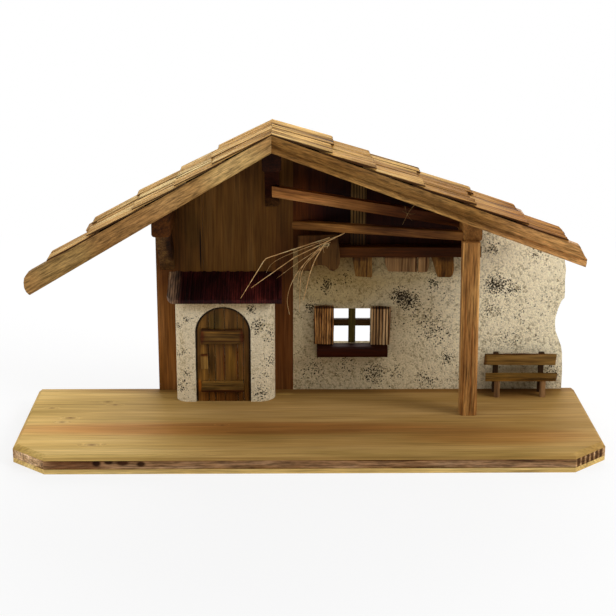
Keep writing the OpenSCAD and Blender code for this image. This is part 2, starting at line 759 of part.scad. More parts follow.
// Children drawn with X down the slope from the ridge and Z away from the roof boards
module on_slope(side) {
    translate([ridge_x, 0, ridge_z])
        if (side == 0) mirror([1, 0, 0]) rotate([0, pitches[side], 0]) children();
        else rotate([0, pitches[side], 0]) children();
}

function last_row(side) = len(butt_shares[side]) - 1;
function butt_s(side, row) = slope_len[side] * butt_shares[side][row];
function head_s(side, row) = row == 0 ? 0 : butt_s(side, row - 1) - lap;
// Height of the top face of a row over the roof boards, where nothing lies on it
function face_h(side, row, s) = head_t + climb(side, row) * (s - head_s(side, row));
// Height of what a row's butt rests on: the next row's face, or the boards below the last row
function bed_h(side, row, s) = row == last_row(side) ? 0 : face_h(side, row + 1, s);
function climb(side, row) = (bed_h(side, row, butt_s(side, row)) + butt_t - head_t)
    / (butt_s(side, row) - head_s(side, row));

// Depth of a groove between two split ridges, which varies from groove to groove
function groove(seed) = split_groove * waver(seed);

// Across each split ridge: its crest, where it falls again and how far
split_shares = [0.25, 0.7, 0.3];
// Height of the blank that a shingle is cut from, as a share of its butt
face_share = 4;
// Shingle: its head lies on the boards and its butt on the next row, with split grooves down its face
module shingle(side, row, y0, y1, butt, flat, seed) {
    s0 = head_s(side, row);
    top = face_share * butt_t;
    k = flat ? (butt_t - head_t) / (butt - s0) : climb(side, row);
    ridges = max(2, round((y1 - y0) / split_w));
    w = (y1 - y0) / ridges;
    intersection() {
        upright([[s0, 0], if (!flat) [head_s(side, row + 1), head_t],
            [butt, flat ? 0 : bed_h(side, row, butt)], [butt, top],
            [row == 0 ? -top * tan(pitches[side]) : s0, top]], y0, y1);
        translate([s0, 0, head_t]) rotate([0, -atan(k), 0])
            sideways(concat([for (i = [0:ridges - 1]) each [[y0 + w * i, -groove(seed + i)],
                [y0 + w * (i + split_shares[0]), 0],
                [y0 + w * (i + split_shares[1]), -groove(seed - i) * split_shares[2]]]],
                [[y1, -groove(seed + ridges)], [y1, -2 * top], [y0, -2 * top]]), -2 * top, 2 * butt - s0);
    }
}

// Row of shingles side by side, their butts staggered behind the front one
module shingle_row(side, row) {
    joints = joint_shares[side][row];
    color("#b78f58") on_slope(side) for (j = [0:len(joints) - 2]) {
        y0 = roof_y + roof_d * joints[j] + (j == 0 ? 0 : shingle_gap / 2);
        y1 = roof_y + roof_d * joints[j + 1] - (j == len(joints) - 2 ? 0 : shingle_gap / 2);
        flat = row == last_row(side) || (row == last_row(side) - 1 && joints[j] >= short_shares[side]);
        stagger = j == 0 ? 0 : butt_stagger * sin(swing * (3 * row + j));
        shingle(side, row, y0, y1, butt_s(side, row) + stagger, flat, 11 * row + 5 * j);
    }
}

// Roof boards: three to a slope, square at the eave and mitred at the ridge
module roof_boards(side) {
    color("#a67c47") on_slope(side) for (j = [0:len(board_joint_shares[side]) - 1]) {
        joints = board_joint_shares[side];
        y0 = j == 0 ? deck_y : roof_y + roof_d * joints[j - 1] + seam / 2;
        y1 = roof_y + roof_d * joints[j] - (joints[j] == 1 ? 0 : seam / 2);
        row = joints[j] > short_shares[side] ? last_row(side) - 1 : last_row(side);
        end = butt_s(side, row) + board_step * board_steps[side][j];
        upright([[0, 0], [end, 0], [end, -deck_t], [deck_t * tan(pitches[side]), -deck_t]], y0, y1);
    }
}

module roof_boards_left() { roof_boards(0); }
module roof_boards_right() { roof_boards(1); }
module shingles_left_1() { shingle_row(0, 0); }
module shingles_left_2() { shingle_row(0, 1); }
module shingles_left_3() { shingle_row(0, 2); }
module shingles_left_4() { shingle_row(0, 3); }
module shingles_left_5() { shingle_row(0, 4); }
module shingles_right_1() { shingle_row(1, 0); }
module shingles_right_2() { shingle_row(1, 1); }
module shingles_right_3() { shingle_row(1, 2); }
module shingles_right_4() { shingle_row(1, 3); }
module shingles_right_5() { shingle_row(1, 4); }
module shingles_right_6() { shingle_row(1, 5); }

// Bench: a seat on two legs and two tall back posts, with a backrest board
bench_x = base_w / 2 - bench_inset - bench_len;
bench_post_y = wall_y - bench_gap - bench_leg;
seat_z = base_t + seat_rise - seat_t;
leg_shares = [0.17, 0.8];
seat_shares = [[0, 0], [0.97, 0], [1.03, 1], [0.03, 1]];
backrest_shares = [[0, 0.04], [0.99, 0], [1, 0.95], [0.5, 1], [0.01, 0.97]];
module bench_seat() {
    color("#4a2c14") translate([0, 0, seat_z]) linear_extrude(seat_t)
        polygon(at_shares([bench_x, bench_post_y - seat_d], bench_len, seat_d, seat_shares));
}

module bench_backrest() {
    z = base_t + bench_post_h - post_show - backrest_h;
    color("#4a2c14") upright(at_shares([bench_x, z], bench_len, backrest_h, backrest_shares),
        bench_post_y - backrest_t, bench_post_y);
}

module bench_legs(y, h) {
    for (s = leg_shares) {
        x = bench_x + bench_len * s - bench_leg / 2;
        translate([0, 0, base_t]) linear_extrude(h) polygon(eased(x, y, x + bench_leg, y + bench_leg, ease));
    }
}

module bench_back_posts() {
    color("#4a2c14") bench_legs(bench_post_y, bench_post_h);
}

module bench_front_legs() {
    color("#4a2c14") bench_legs(bench_post_y - seat_d + ease, seat_rise - seat_t);
}

// Straw: thin stalks that start on the front of the left apron, then hang down or reach over the canopy
straw_sides = 6;
straw_rings = 10;
// Start, bend and end of each stalk, as shares of the longest straw's reach
straw_shares = [[[0.5, 0, 0.285], [0.04, -0.12, 0.115], [-0.5, -0.24, -0.255]],
    [[0.34, 0, 0.235], [-0.27, -0.12, 0.185], [-0.62, -0.295, -0.35]],
    [[0.26, 0, 0.125], [0.14, 0, -0.025], [0.06, -0.03, -0.455]],
    [[0.015, 0, -0.1], [-0.17, -0.02, -0.36], [-0.09, -0.04, -0.625]],
    [[0.08, 0, 0], [0.03, 0, -0.25], [0.02, -0.02, -0.6]]];
function bend(p, t) = p[0] * (1 - t) * (1 - t) + p[1] * 2 * t * (1 - t) + p[2] * t * t;
function lean(p, t) = (p[1] - p[0]) * (1 - t) + (p[2] - p[1]) * t;
function unit(v) = v / norm(v);

// Ring of points round a place on a stalk, square to its run
function stalk_ring(c, d) = let (u = unit(cross(d, [0, 1, 0])), v = unit(cross(u, d)))
    [for (k = [0:straw_sides - 1]) let (a = 360 * k / straw_sides)
        c + (u * cos(a) + v * sin(a)) * straw_dia / 2];

module stalk(p) {
    points = [for (i = [0:straw_rings]) each stalk_ring(bend(p, i / straw_rings), lean(p, i / straw_rings))];
    last = straw_rings * straw_sides;
    polyhedron(points, concat([[for (k = [straw_sides - 1:-1:0]) k]],
        [for (a = [0:straw_sides:last - 1], k = [0:straw_sides - 1]) let (b = (k + 1) % straw_sides)
            each [[a + k, a + straw_sides + b, a + straw_sides + k], [a + k, a + b, a + straw_sides + b]]],
        [[for (k = [0:straw_sides - 1]) last + k]]));
}

module straw() {
    color("#d9bd85") translate([apron_x, plate_y - apron_t - seam - straw_dia / 2, plate_z])
        for (p = straw_shares) stalk(p * straw_reach);
}

base_top_layer();
base_core_layer();
base_bottom_layer();
facade_boards();
plaster_wall();
upper_back_board();
porch_block();
porch_canopy();
door_planks();
door_upper_batten();
door_lower_batten();
door_lock_block();
window_mullion();
window_transom();
shutter_left();
shutter_right();
window_sill();
wall_plate();
loft_rail_upper();
loft_rail_lower();
loft_batten();
joist_ends();
apron_board_left();
apron_boards_right();
straw();
purlin_left();
purlin_ridge();
purlin_right();
brace_left();
brace_ridge();
post();
barge_board_left();
barge_board_right();
roof_boards_left();
roof_boards_right();
shingles_left_1();
shingles_left_2();
shingles_left_3();
shingles_left_4();
shingles_left_5();
shingles_right_1();
shingles_right_2();
shingles_right_3();
shingles_right_4();
shingles_right_5();
shingles_right_6();
bench_seat();
bench_backrest();
bench_back_posts();
bench_front_legs();
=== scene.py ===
import math

import bpy
import numpy as np
from mathutils import Matrix, Vector


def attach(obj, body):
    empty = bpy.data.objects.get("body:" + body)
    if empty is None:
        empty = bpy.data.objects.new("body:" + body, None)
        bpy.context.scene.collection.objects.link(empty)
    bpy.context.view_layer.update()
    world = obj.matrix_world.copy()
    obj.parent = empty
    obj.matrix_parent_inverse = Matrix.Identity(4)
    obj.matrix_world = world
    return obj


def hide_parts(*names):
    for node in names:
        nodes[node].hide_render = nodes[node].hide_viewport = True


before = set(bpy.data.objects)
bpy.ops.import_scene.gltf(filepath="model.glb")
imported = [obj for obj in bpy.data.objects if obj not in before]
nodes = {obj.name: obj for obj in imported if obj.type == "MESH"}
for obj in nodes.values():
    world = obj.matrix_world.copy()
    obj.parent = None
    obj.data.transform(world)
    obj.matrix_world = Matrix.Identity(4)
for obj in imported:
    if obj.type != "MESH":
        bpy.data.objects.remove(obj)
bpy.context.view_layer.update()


# Base: a board of three glued layers with its front corners cut off and its top edge bevelled.
# The top is pine with a honey stain and wax, the core is dark timber laid across it,
# and the bottom layer is bare pine.
base_top, core_middle, base_front = 0.019, 0.0095, -0.1
# A noise at scale 1 has about one lump in a metre, and a wave at scale 1 comes back every 314 mm
metre_mm, wave_mm = 1000, 314


def linear(colour):
    """Turns an sRGB hex colour into linear red, green and blue, with a full alpha behind them."""
    parts = [int(colour[at:at + 2], 16) / 255 for at in (1, 3, 5)]
    return [part / 12.92 if part <= 0.04045 else ((part + 0.055) / 1.055) ** 2.4 for part in parts] + [1]


def add(material, kind, settings=None, links=None):
    """Adds one node. A setting is a property of it or the value of an input, a link feeds an input
    from a node's first output or from a socket, and stops are the places and colours of a ramp."""
    made = material.node_tree.nodes.new("ShaderNode" + kind)
    for name, value in (settings or {}).items():
        if name == "stops":
            while len(made.color_ramp.elements) < len(value):
                made.color_ramp.elements.new(0.5)
            for element, (at, colour) in zip(made.color_ramp.elements, value):
                element.position = at
                element.color = linear(colour)
        elif isinstance(name, int) or not hasattr(made, name):
            made.inputs[name].default_value = value
        else:
            setattr(made, name, value)
    for name, source in (links or {}).items():
        socket = source if hasattr(source, "is_linked") else source.outputs[0]
        material.node_tree.links.new(socket, made.inputs[name])
    return made


def finish(name, roughness, specular=0.5):
    """A new material with its principled surface, and the node that gives places on the object."""
    material = bpy.data.materials.new(name)
    material.use_nodes = True
    material.node_tree.nodes.clear()
    surface = add(material, "BsdfPrincipled", {"Roughness": roughness, "Specular IOR Level": specular})
    add(material, "OutputMaterial", {}, {"Surface": surface})
    place = add(material, "TexCoord").outputs["Object"]
    return material, surface, place


def weathered(material, colour, place, spots):
    """Multiplies a colour by the tint of each spot, which is egg-shaped, full within two fifths of its
    half widths, and fades from there to its rim. A spot is its middle, its half widths and its tint:
    shares of red, green and blue, above 1 to lift. It stands for stain, dirt or wear, or for light and
    shade that the photograph has and the lamps don't give."""
    for middle, reach, tint in spots:
        near = add(material, "Mapping", {"vector_type": "TEXTURE", "Location": middle, "Scale": reach},
                   {"Vector": place})
        ball = add(material, "TexGradient", {"gradient_type": "SPHERICAL"}, {"Vector": near})
        share = add(material, "MapRange", {"interpolation_type": "SMOOTHSTEP", "From Max": 0.6},
                    {"Value": ball})
        colour = add(material, "MixRGB", {"blend_type": "MULTIPLY", "Color2": (*tint, 1)},
                     {"Fac": share, "Color1": colour})
    return colour


# A timber's colour is multiplied by these in the late part of its rings, its streaks, the marks of
# the saw and its knots. A knot pushes the rings up to 20 mm aside, and an arris looks 0.6 mm round.
late_wood, dark_streak, saw_mark, knot_heart = "#7a4f26", "#5a3212", "#2e1606", "#6b4218"
knot_push, arris = 0.02, 0.0006


def timber(name, dark, mid, light, turn=(0, 0, 0), start=(0, 0, -0.06), ring_mm=4.0, late=0.15,
           fibre_mm=1.7, fibre=0.35, drawn=20, flat=1, streak=0.5, grooves=None, tone_mm=30.0, rough=0.6,
           sheen=0.1, relief_mm=0.1, wander=5.0, knots=(), spots=(), split=None):
    """Sawn timber. Its growth rings lie round a line along X, after the place is turned and moved, so
    that they show as long arches on the sides and as arcs on the ends. Fibres are noise drawn out
    along the grain, and across its flat side too where flat is under 1. Dark streaks are the peaks of
    a wider noise, and the tone is a broader one. Grooves are wavy dark lines, given as how far apart
    in mm, how strong and across which way. A knot pushes the rings aside and darkens, and spots tint.
    Split wood carries its own places in one attribute, and the depth of its hollows in another. Where
    they are deep it takes the colour given as split."""
    material, surface, place = finish(name, rough, sheen)
    spot_place = place
    if split:
        place = add(material, "Attribute", {"attribute_name": "grain"}).outputs["Vector"]
    turned = add(material, "Mapping", {"Rotation": turn, "Location": start}, {"Vector": place})
    knot = None
    for x, y, z, size in knots:
        near = add(material, "Mapping", {"vector_type": "TEXTURE", "Location": (x, y, z),
                                         "Scale": (size * 2.2, size, size)}, {"Vector": place})
        ball = add(material, "TexGradient", {"gradient_type": "QUADRATIC_SPHERE"}, {"Vector": near})
        knot = add(material, "Math", {"operation": "MAXIMUM"}, {0: knot, 1: ball}) if knot else ball
    bent = turned
    if knot:
        push = add(material, "Math", {"operation": "MULTIPLY", 1: knot_push}, {0: knot})
        push = add(material, "CombineXYZ", {}, {"Z": push})
        bent = add(material, "VectorMath", {"operation": "ADD"}, {0: turned, 1: push})
    broad = add(material, "Mapping", {"Scale": (0.12, 1, 1)}, {"Vector": bent})
    long = add(material, "Mapping", {"Scale": (1 / drawn, 1, flat)}, {"Vector": bent})
    rings = add(material, "TexWave",
                {"wave_type": "RINGS", "rings_direction": "X", "wave_profile": "SAW",
                 "Scale": wave_mm / ring_mm, "Distortion": wander, "Detail": 2.0,
                 "Detail Scale": 0.35, "Detail Roughness": 0.55}, {"Vector": broad})
    tone = add(material, "TexNoise", {"Scale": metre_mm / tone_mm, "Detail": 3.0, "Roughness": 0.6},
               {"Vector": broad})
    threads = add(material, "TexNoise", {"Scale": metre_mm / fibre_mm, "Detail": 3.0, "Roughness": 0.65},
                  {"Vector": long})
    peaks = add(material, "TexNoise", {"Scale": 0.3 * metre_mm / fibre_mm, "Detail": 3.0,
                                       "Roughness": 0.6}, {"Vector": long})
    colour = add(material, "ValToRGB", {"stops": [(0.3, dark), (0.5, mid), (0.7, light)]}, {"Fac": tone})
    ring_shade = add(material, "Math", {"operation": "POWER", 1: 3.0}, {0: rings})
    ring_shade = add(material, "Math", {"operation": "MULTIPLY", 1: late}, {0: ring_shade})
    colour = add(material, "MixRGB", {"blend_type": "MULTIPLY", "Color2": linear(late_wood)},
                 {"Fac": ring_shade, "Color1": colour})
    thread_shade = add(material, "MapRange", {"From Min": 0.35, "From Max": 0.65, "To Min": 1 - fibre,
                                              "To Max": 1 + fibre}, {"Value": threads})
    colour = add(material, "HueSaturation", {}, {"Color": colour, "Value": thread_shade})
    dark_line = add(material, "MapRange", {"From Min": 0.54, "From Max": 0.68, "To Max": streak},
                    {"Value": peaks})
    colour = add(material, "MixRGB", {"blend_type": "MULTIPLY", "Color2": linear(dark_streak)},
                 {"Fac": dark_line, "Color1": colour})
    if grooves:
        apart_mm, strong, across_way = grooves
        saw = add(material, "TexWave", {"bands_direction": across_way, "Scale": wave_mm / apart_mm,
                                        "Distortion": 4.0, "Detail": 2.0, "Detail Scale": 1.2},
                  {"Vector": long})
        saw = add(material, "MapRange", {"From Min": 0.5, "From Max": 0.1, "To Max": strong},
                  {"Value": saw})
        colour = add(material, "MixRGB", {"blend_type": "MULTIPLY", "Color2": linear(saw_mark)},
                     {"Fac": saw, "Color1": colour})
    if knot:
        heart = add(material, "Math", {"operation": "POWER", 1: 2.0}, {0: knot})
        colour = add(material, "MixRGB", {"blend_type": "MULTIPLY", "Color2": linear(knot_heart)},
                     {"Fac": heart, "Color1": colour})
    colour = weathered(material, colour, spot_place, spots)
    if split:
        deep = add(material, "Attribute", {"attribute_name": "hollow"}).outputs["Fac"]
        deep = add(material, "MapRange", {"From Min": 0.35, "From Max": 0.85, "To Max": 0.95},
                   {"Value": deep})
        colour = add(material, "MixRGB", {"Color2": linear(split)}, {"Fac": deep, "Color1": colour})
    material.node_tree.links.new(colour.outputs[0], surface.inputs["Base Color"])
    eased = add(material, "Bevel", {"samples": 4, "Radius": arris})
    bump = add(material, "Bump", {"Strength": 0.7, "Distance": relief_mm / metre_mm},
               {"Height": threads, "Normal": eased})
    material.node_tree.links.new(bump.outputs[0], surface.inputs["Normal"])
    return material


def dress(material, *names):
    """Gives the finish to pieces of the frame, by name."""
    for name in names:
        if not nodes[name].data.materials:
            nodes[name].data.materials.append(None)
        for slot in nodes[name].material_slots:
            slot.material = material


# Waxed pine: soft rings cut nearly flat, a dull sheen, small knots on the left, a reddish streak in
# front of the porch and a browner bevel in front. Painted light brightens the left end, and painted
# shade darkens the middle, the foot of the wall and the board behind the bench.
# A knot is its place across and along the board, and its size.
base_knots = [(x, y, base_top, size) for x, y, size in
              ((-0.259, -0.006, 0.006), (-0.252, 0.006, 0.007), (-0.22, -0.07, 0.008),
               (-0.209, 0.045, 0.006), (-0.218, 0.054, 0.005), (-0.276, 0.036, 0.005),
               (-0.091, -0.016, 0.005))]
base_spots = [((-0.28, 0, base_top), (0.22, 0.3, 0.1), (1.45, 1.6, 1.8)),
              ((0.03, 0.01, base_top), (0.36, 0.16, 0.1), (0.78, 0.76, 0.8)),
              ((-0.08, -0.026, base_top), (0.34, 0.026, 0.1), (0.85, 0.62, 0.5)),
              ((0.19, -0.05, base_top), (0.13, 0.03, 0.1), (0.95, 0.8, 0.7)),
              ((-0.025, 0.078, base_top), (0.012, 0.006, 0.1), (1.35, 1.45, 1.5)),
              ((0.05, 0.094, base_top), (0.45, 0.02, 0.1), (0.6, 0.5, 0.4)),
              ((0.23, 0.085, base_top), (0.06, 0.035, 0.1), (0.6, 0.5, 0.42)),
              ((0, -0.09, base_top), (0.6, 0.02, 0.006), (1.12, 1.18, 1.35)),
              ((0, base_front, 0.0162), (0.6, 0.004, 0.0016), (0.72, 0.68, 0.66))]
dress(timber("waxed_honey_pine", "#987739", "#b28c4b", "#c5a05f", start=(0, 0.03, -0.12), ring_mm=4.5,
             late=0.14, fibre=0.16, drawn=40, streak=0.2, tone_mm=40, rough=0.75, sheen=0.1,
             relief_mm=0.04, wander=9, knots=base_knots, spots=base_spots), "base_top_layer")
# Dark core: brown streaks along its front edge, darkest and with worm holes at the left, paler on the
# cut corners, the right one of which shows the ends of its strips
core_spots = [((-0.292, -0.085, core_middle), (0.05, 0.04, 0.03), (2.0, 2.4, 2.8)),
              ((-0.236, base_front, core_middle), (0.042, 0.02, 0.03), (0.55, 0.42, 0.35)),
              ((-0.212, base_front, 0.0115), (0.006, 0.01, 0.005), (0.1, 0.06, 0.04)),
              ((-0.2, base_front, 0.0125), (0.006, 0.01, 0.003), (0.15, 0.1, 0.06)),
              ((-0.186, base_front, 0.012), (0.009, 0.01, 0.004), (0.2, 0.12, 0.08)),
              ((-0.168, base_front, 0.0105), (0.006, 0.01, 0.004), (0.15, 0.1, 0.06)),
              ((0.08, base_front, 0.0137), (0.07, 0.02, 0.0012), (0.4, 0.28, 0.18)),
              ((0.285, -0.085, core_middle), (0.04, 0.04, 0.03), (1.6, 1.7, 1.6)),
              ((0, base_front, 0.0136), (0.7, 0.02, 0.0012), (0.72, 0.64, 0.55)),
              ((0, base_front, 0.0053), (0.7, 0.02, 0.001), (0.85, 0.8, 0.5))]
for strip in range(6):
    glue_line = (0.2675 + 0.0055 * strip, -0.097 + 0.0049 * strip, core_middle)
    core_spots.append((glue_line, (0.0028, 0.02, 0.012), (0.2, 0.15, 0.1)))
dress(timber("dark_core_timber", "#6d4a2a", "#96704c", "#b18d6a", start=(0, 0, -0.3), ring_mm=3,
             late=0.3, fibre=0.45, drawn=10, streak=0.5, tone_mm=9, rough=0.75, spots=core_spots),
      "base_core_layer")
# Bare pine: the palest line of the edge, with fine close rings
dress(timber("bare_pine", "#c49c54", "#e6c378", "#fbe19c", start=(0.1, 0, -0.05), ring_mm=3, late=0.3,
             fibre=0.2, streak=0.4, rough=0.65), "base_bottom_layer")


# Back wall: two brown-stained upright boards on the left, a board covered with rough plaster from
# the porch to the broken right edge, and a dark-stained board above the plaster. They are glued to
# each other and along the back of the base.
wall_face = 0.093
upright = (0, math.pi / 2, 0)
# Brown stain: soft grain and a drying crack over the porch, with painted light low on the left, and
# painted shade beside the porch and under the roof
facade_spots = [((-0.154, wall_face, 0.09), (0.03, 0.05, 0.14), (1.15, 1.05, 1.4)),
                ((-0.024, wall_face, 0.09), (0.03, 0.05, 0.14), (0.85, 0.65, 0.7)),
                ((-0.16, wall_face, 0.21), (0.04, 0.05, 0.1), (0.62, 0.53, 0.4)),
                ((-0.1, wall_face, 0.23), (0.05, 0.05, 0.06), (1.1, 1.15, 1.25)),
                ((-0.156, wall_face, 0.07), (0.02, 0.05, 0.09), (1.5, 1.6, 1.6)),
                ((-0.1165, wall_face, 0.182), (0.0014, 0.05, 0.034), (0.1, 0.07, 0.05)),
                ((-0.125, wall_face, 0.2), (0.012, 0.05, 0.03), (0.75, 0.8, 0.75)),
                ((-0.1, wall_face, 0.28), (0.09, 0.05, 0.035), (0.72, 0.66, 0.66))]
dress(timber("brown_stained_boards", "#54330d", "#70491b", "#875f2e", turn=upright, start=(0, 0, -0.05),
             ring_mm=5, late=0.15, fibre=0.3, drawn=30, streak=0.3, tone_mm=26, relief_mm=0.05,
             spots=facade_spots), "facade_boards")
# Darker stain, and painted shade: almost black under the roof, and brown only beside the timber boards
upper_board_spots = [((0.12, wall_face, 0.24), (0.19, 0.05, 0.1), (0.25, 0.12, 0.05)),
                     ((0.035, wall_face, 0.225), (0.04, 0.05, 0.03), (0.55, 0.3, 0.15)),
                     ((-0.005, wall_face, 0.23), (0.03, 0.05, 0.04), (2.0, 1.9, 1.0))]
dress(timber("brown_stained_upper_board", "#3d1902", "#4c2504", "#5a2f08", turn=upright,
             start=(0.1, 0.02, -0.08), ring_mm=5, fibre=0.25, spots=upper_board_spots), "upper_back_board")

# A mark of specks is centred between the faces of the wall and of the porch, and reaches both
mark_middle, mark_deep = 0.075, 0.2
speck_dark = "#1d160d"


def plaster(name, clean, worn, marks, bare, spots=()):
    """Lime plaster dabbed on by hand: sandy bumps of one to four millimetres with a worn tone in the
    hollows, and dark specks in two sizes. A speck is a cell of a random pattern near its centre, wider
    where they lie thick, and the bumps shake the pattern. Every cell draws a number, and shows a speck
    where that lies below the share of specks. That is the bare share everywhere, twice as much for the
    finer ones, and rises towards the middle of each mark."""
    material, surface, place = finish(name, 0.92, 0.1)
    lump_mm, sand_mm, cloud_mm = 4.5, 1.8, 30
    lumps = add(material, "TexNoise", {"Scale": metre_mm / lump_mm, "Detail": 4.0, "Roughness": 0.65},
                {"Vector": place})
    sand = add(material, "TexNoise", {"Scale": metre_mm / sand_mm, "Detail": 2.0, "Roughness": 0.7},
               {"Vector": place})
    cloud = add(material, "TexNoise", {"Scale": metre_mm / cloud_mm, "Detail": 3.0}, {"Vector": place})
    height = add(material, "Math", {"operation": "MULTIPLY_ADD", 1: 0.6}, {0: sand, 2: lumps})
    wash = add(material, "Math", {"operation": "MULTIPLY_ADD", 1: 0.4}, {0: cloud, 2: height})
    colour = add(material, "ValToRGB", {"stops": [(0.72, worn), (1.1, clean)]}, {"Fac": wash})
    grit = add(material, "MapRange", {"From Min": 0.38, "From Max": 0.62, "To Min": 0.86, "To Max": 1.1},
               {"Value": sand})
    colour = add(material, "HueSaturation", {}, {"Color": colour, "Value": grit})
    thick = None
    for x, z, size, strength in marks:
        near = add(material, "Mapping", {"vector_type": "TEXTURE", "Location": (x, mark_middle, z),
                                         "Scale": (size, mark_deep, size)}, {"Vector": place})
        ball = add(material, "TexGradient", {"gradient_type": "SPHERICAL"}, {"Vector": near})
        ball = add(material, "Math", {"operation": "POWER", 1: 1.5}, {0: ball})
        ball = add(material, "Math", {"operation": "MULTIPLY", 1: strength * 2}, {0: ball})
        thick = add(material, "Math", {"operation": "ADD"}, {0: thick, 1: ball}) if thick else ball
    for cell_mm, size, plain_share in ((2.4, 0.4, bare), (1.6, 0.42, 2 * bare)):
        shaken = add(material, "MixRGB", {"Fac": 0.004, "blend_type": "ADD"},
                     {"Color1": place, "Color2": lumps.outputs["Color"]})
        cells = add(material, "TexVoronoi", {"Scale": metre_mm / cell_mm}, {"Vector": shaken})
        drawn = add(material, "SeparateColor", {}, {"Color": cells.outputs["Color"]})
        share = add(material, "Math", {"operation": "ADD", 1: plain_share}, {0: thick})
        shown = add(material, "Math", {"operation": "LESS_THAN"}, {0: drawn, 1: share})
        rim = add(material, "Math", {"operation": "MULTIPLY_ADD", 1: 0.12, 2: size}, {0: thick})
        core = add(material, "Math", {"operation": "MULTIPLY", 1: 0.72}, {0: rim})
        speck = add(material, "MapRange", {"To Max": 0.96},
                    {"Value": cells, "From Min": rim, "From Max": core})
        speck = add(material, "Math", {"operation": "MULTIPLY"}, {0: speck, 1: shown})
        colour = add(material, "MixRGB", {"Color2": linear(speck_dark)}, {"Fac": speck, "Color1": colour})
    colour = weathered(material, colour, place, spots)
    material.node_tree.links.new(colour.outputs[0], surface.inputs["Base Color"])
    bump = add(material, "Bump", {"Strength": 1.0, "Distance": 0.0012}, {"Height": height})
    material.node_tree.links.new(bump.outputs[0], surface.inputs["Normal"])
    return material


# Lime plaster: dull and sandy, darker under the beam and behind the bench, where the spots paint the
# shade, and bright along the broken edge. A mark is a place across and up the wall, how far it
# spreads and how thick its specks lie.
wall_marks = [(0.101, 0.127, 0.014, 1.2), (0.112, 0.122, 0.017, 0.7), (0.118, 0.104, 0.03, 0.2),
              (0.14, 0.087, 0.026, 0.36), (0.138, 0.141, 0.012, 0.6), (0.145, 0.122, 0.03, 0.07),
              (0.155, 0.056, 0.014, 0.6), (0.132, 0.029, 0.018, 0.4), (0.074, 0.038, 0.02, 0.6),
              (0.1, 0.041, 0.014, 0.35), (0.044, 0.045, 0.02, 0.25), (0.006, 0.042, 0.022, 0.3),
              (0.004, 0.115, 0.01, 0.7), (0.021, 0.141, 0.014, 0.6), (0.043, 0.15, 0.014, 0.35),
              (0.201, 0.181, 0.014, 0.5), (0.205, 0.14, 0.018, 0.9), (0.222, 0.135, 0.018, 0.5),
              (0.25, 0.175, 0.014, 0.3), (0.203, 0.111, 0.018, 0.35), (0.233, 0.112, 0.03, 0.06),
              (0.222, 0.08, 0.02, 0.2), (0.261, 0.122, 0.022, 0.06), (0.273, 0.039, 0.014, 0.5)]
wall_spots = [((0.28, wall_face, 0.13), (0.2, 0.3, 0.3), (1.5, 1.6, 1.8)),
              ((0.11, wall_face, 0.115), (0.05, 0.1, 0.04), (0.9, 0.88, 0.84)),
              ((0.0, wall_face, 0.185), (0.1, 0.1, 0.05), (0.6, 0.48, 0.32)),
              ((0.235, wall_face, 0.03), (0.055, 0.1, 0.035), (0.5, 0.47, 0.42)),
              ((0.07, wall_face, 0.158), (0.13, 0.1, 0.03), (0.8, 0.75, 0.62)),
              ((0.032, wall_face, 0.136), (0.07, 0.1, 0.03), (0.84, 0.77, 0.6))]
dress(plaster("rough_lime_plaster", "#d2c19c", "#8b7955", wall_marks, 0.008, wall_spots), "plaster_wall")


# Window: an opening in the plastered board with a cross of two bars halved into each other, two
# rough-sawn shutters glued on either side, and a sill like half a log below.
shutter_face = 0.085
# Dark olive stain on the bars, which shows hardly any grain
dress(timber("olive_window_bars", "#2e1c05", "#422b0a", "#553b12", start=(0, 0, -0.03), ring_mm=2.5),
      "window_transom")
dress(timber("olive_window_post", "#352a0b", "#4b3f14", "#60511c", turn=upright, ring_mm=2.5),
      "window_mullion")
# Rough-sawn shutters: the saw left upright dark lines, finer on the browner left one. Their top is
# dark end grain, and one long edge of each has a line of painted shade
dress(timber("rough_sawn_shutter_wood", "#82522a", "#ab7740", "#d69f61", turn=upright,
             start=(0, 0, -0.02), ring_mm=2.2, fibre_mm=1.4, fibre=0.5, drawn=7, streak=0.9,
             grooves=(2.7, 0.85, "Z"), tone_mm=5, relief_mm=0.5, rough=0.7,
             spots=[((0.0178, shutter_face, 0.1166), (0.02, 0.01, 0.002), (0.22, 0.15, 0.12)),
                    ((0.007, shutter_face, 0.095), (0.0016, 0.01, 0.03), (0.35, 0.25, 0.2))]),
      "shutter_left")
dress(timber("pale_sawn_shutter_wood", "#815a39", "#b0885a", "#e0ba89", turn=upright,
             start=(0.2, 0, -0.02), ring_mm=2.2, fibre_mm=1.6, fibre=0.4, streak=0.5,
             grooves=(3.4, 1.0, "Z"), tone_mm=8, relief_mm=0.5, rough=0.7,
             spots=[((0.08, shutter_face, 0.1158), (0.02, 0.01, 0.002), (0.22, 0.15, 0.12)),
                    ((0.0905, shutter_face, 0.095), (0.0016, 0.01, 0.03), (0.3, 0.22, 0.18))]),
      "shutter_right")
# Dark red stain on the sill, dull and almost black
dress(timber("dark_red_sill_wood", "#200801", "#300e01", "#441702", ring_mm=2.5, fibre=0.3,
             rough=0.8), "window_sill")


# Porch: a block with rounded front corners and an arched recess, plastered like the wall and glued to
# the boards behind it, under a slab of bark that slopes forward over the door.
porch_face = 0.054
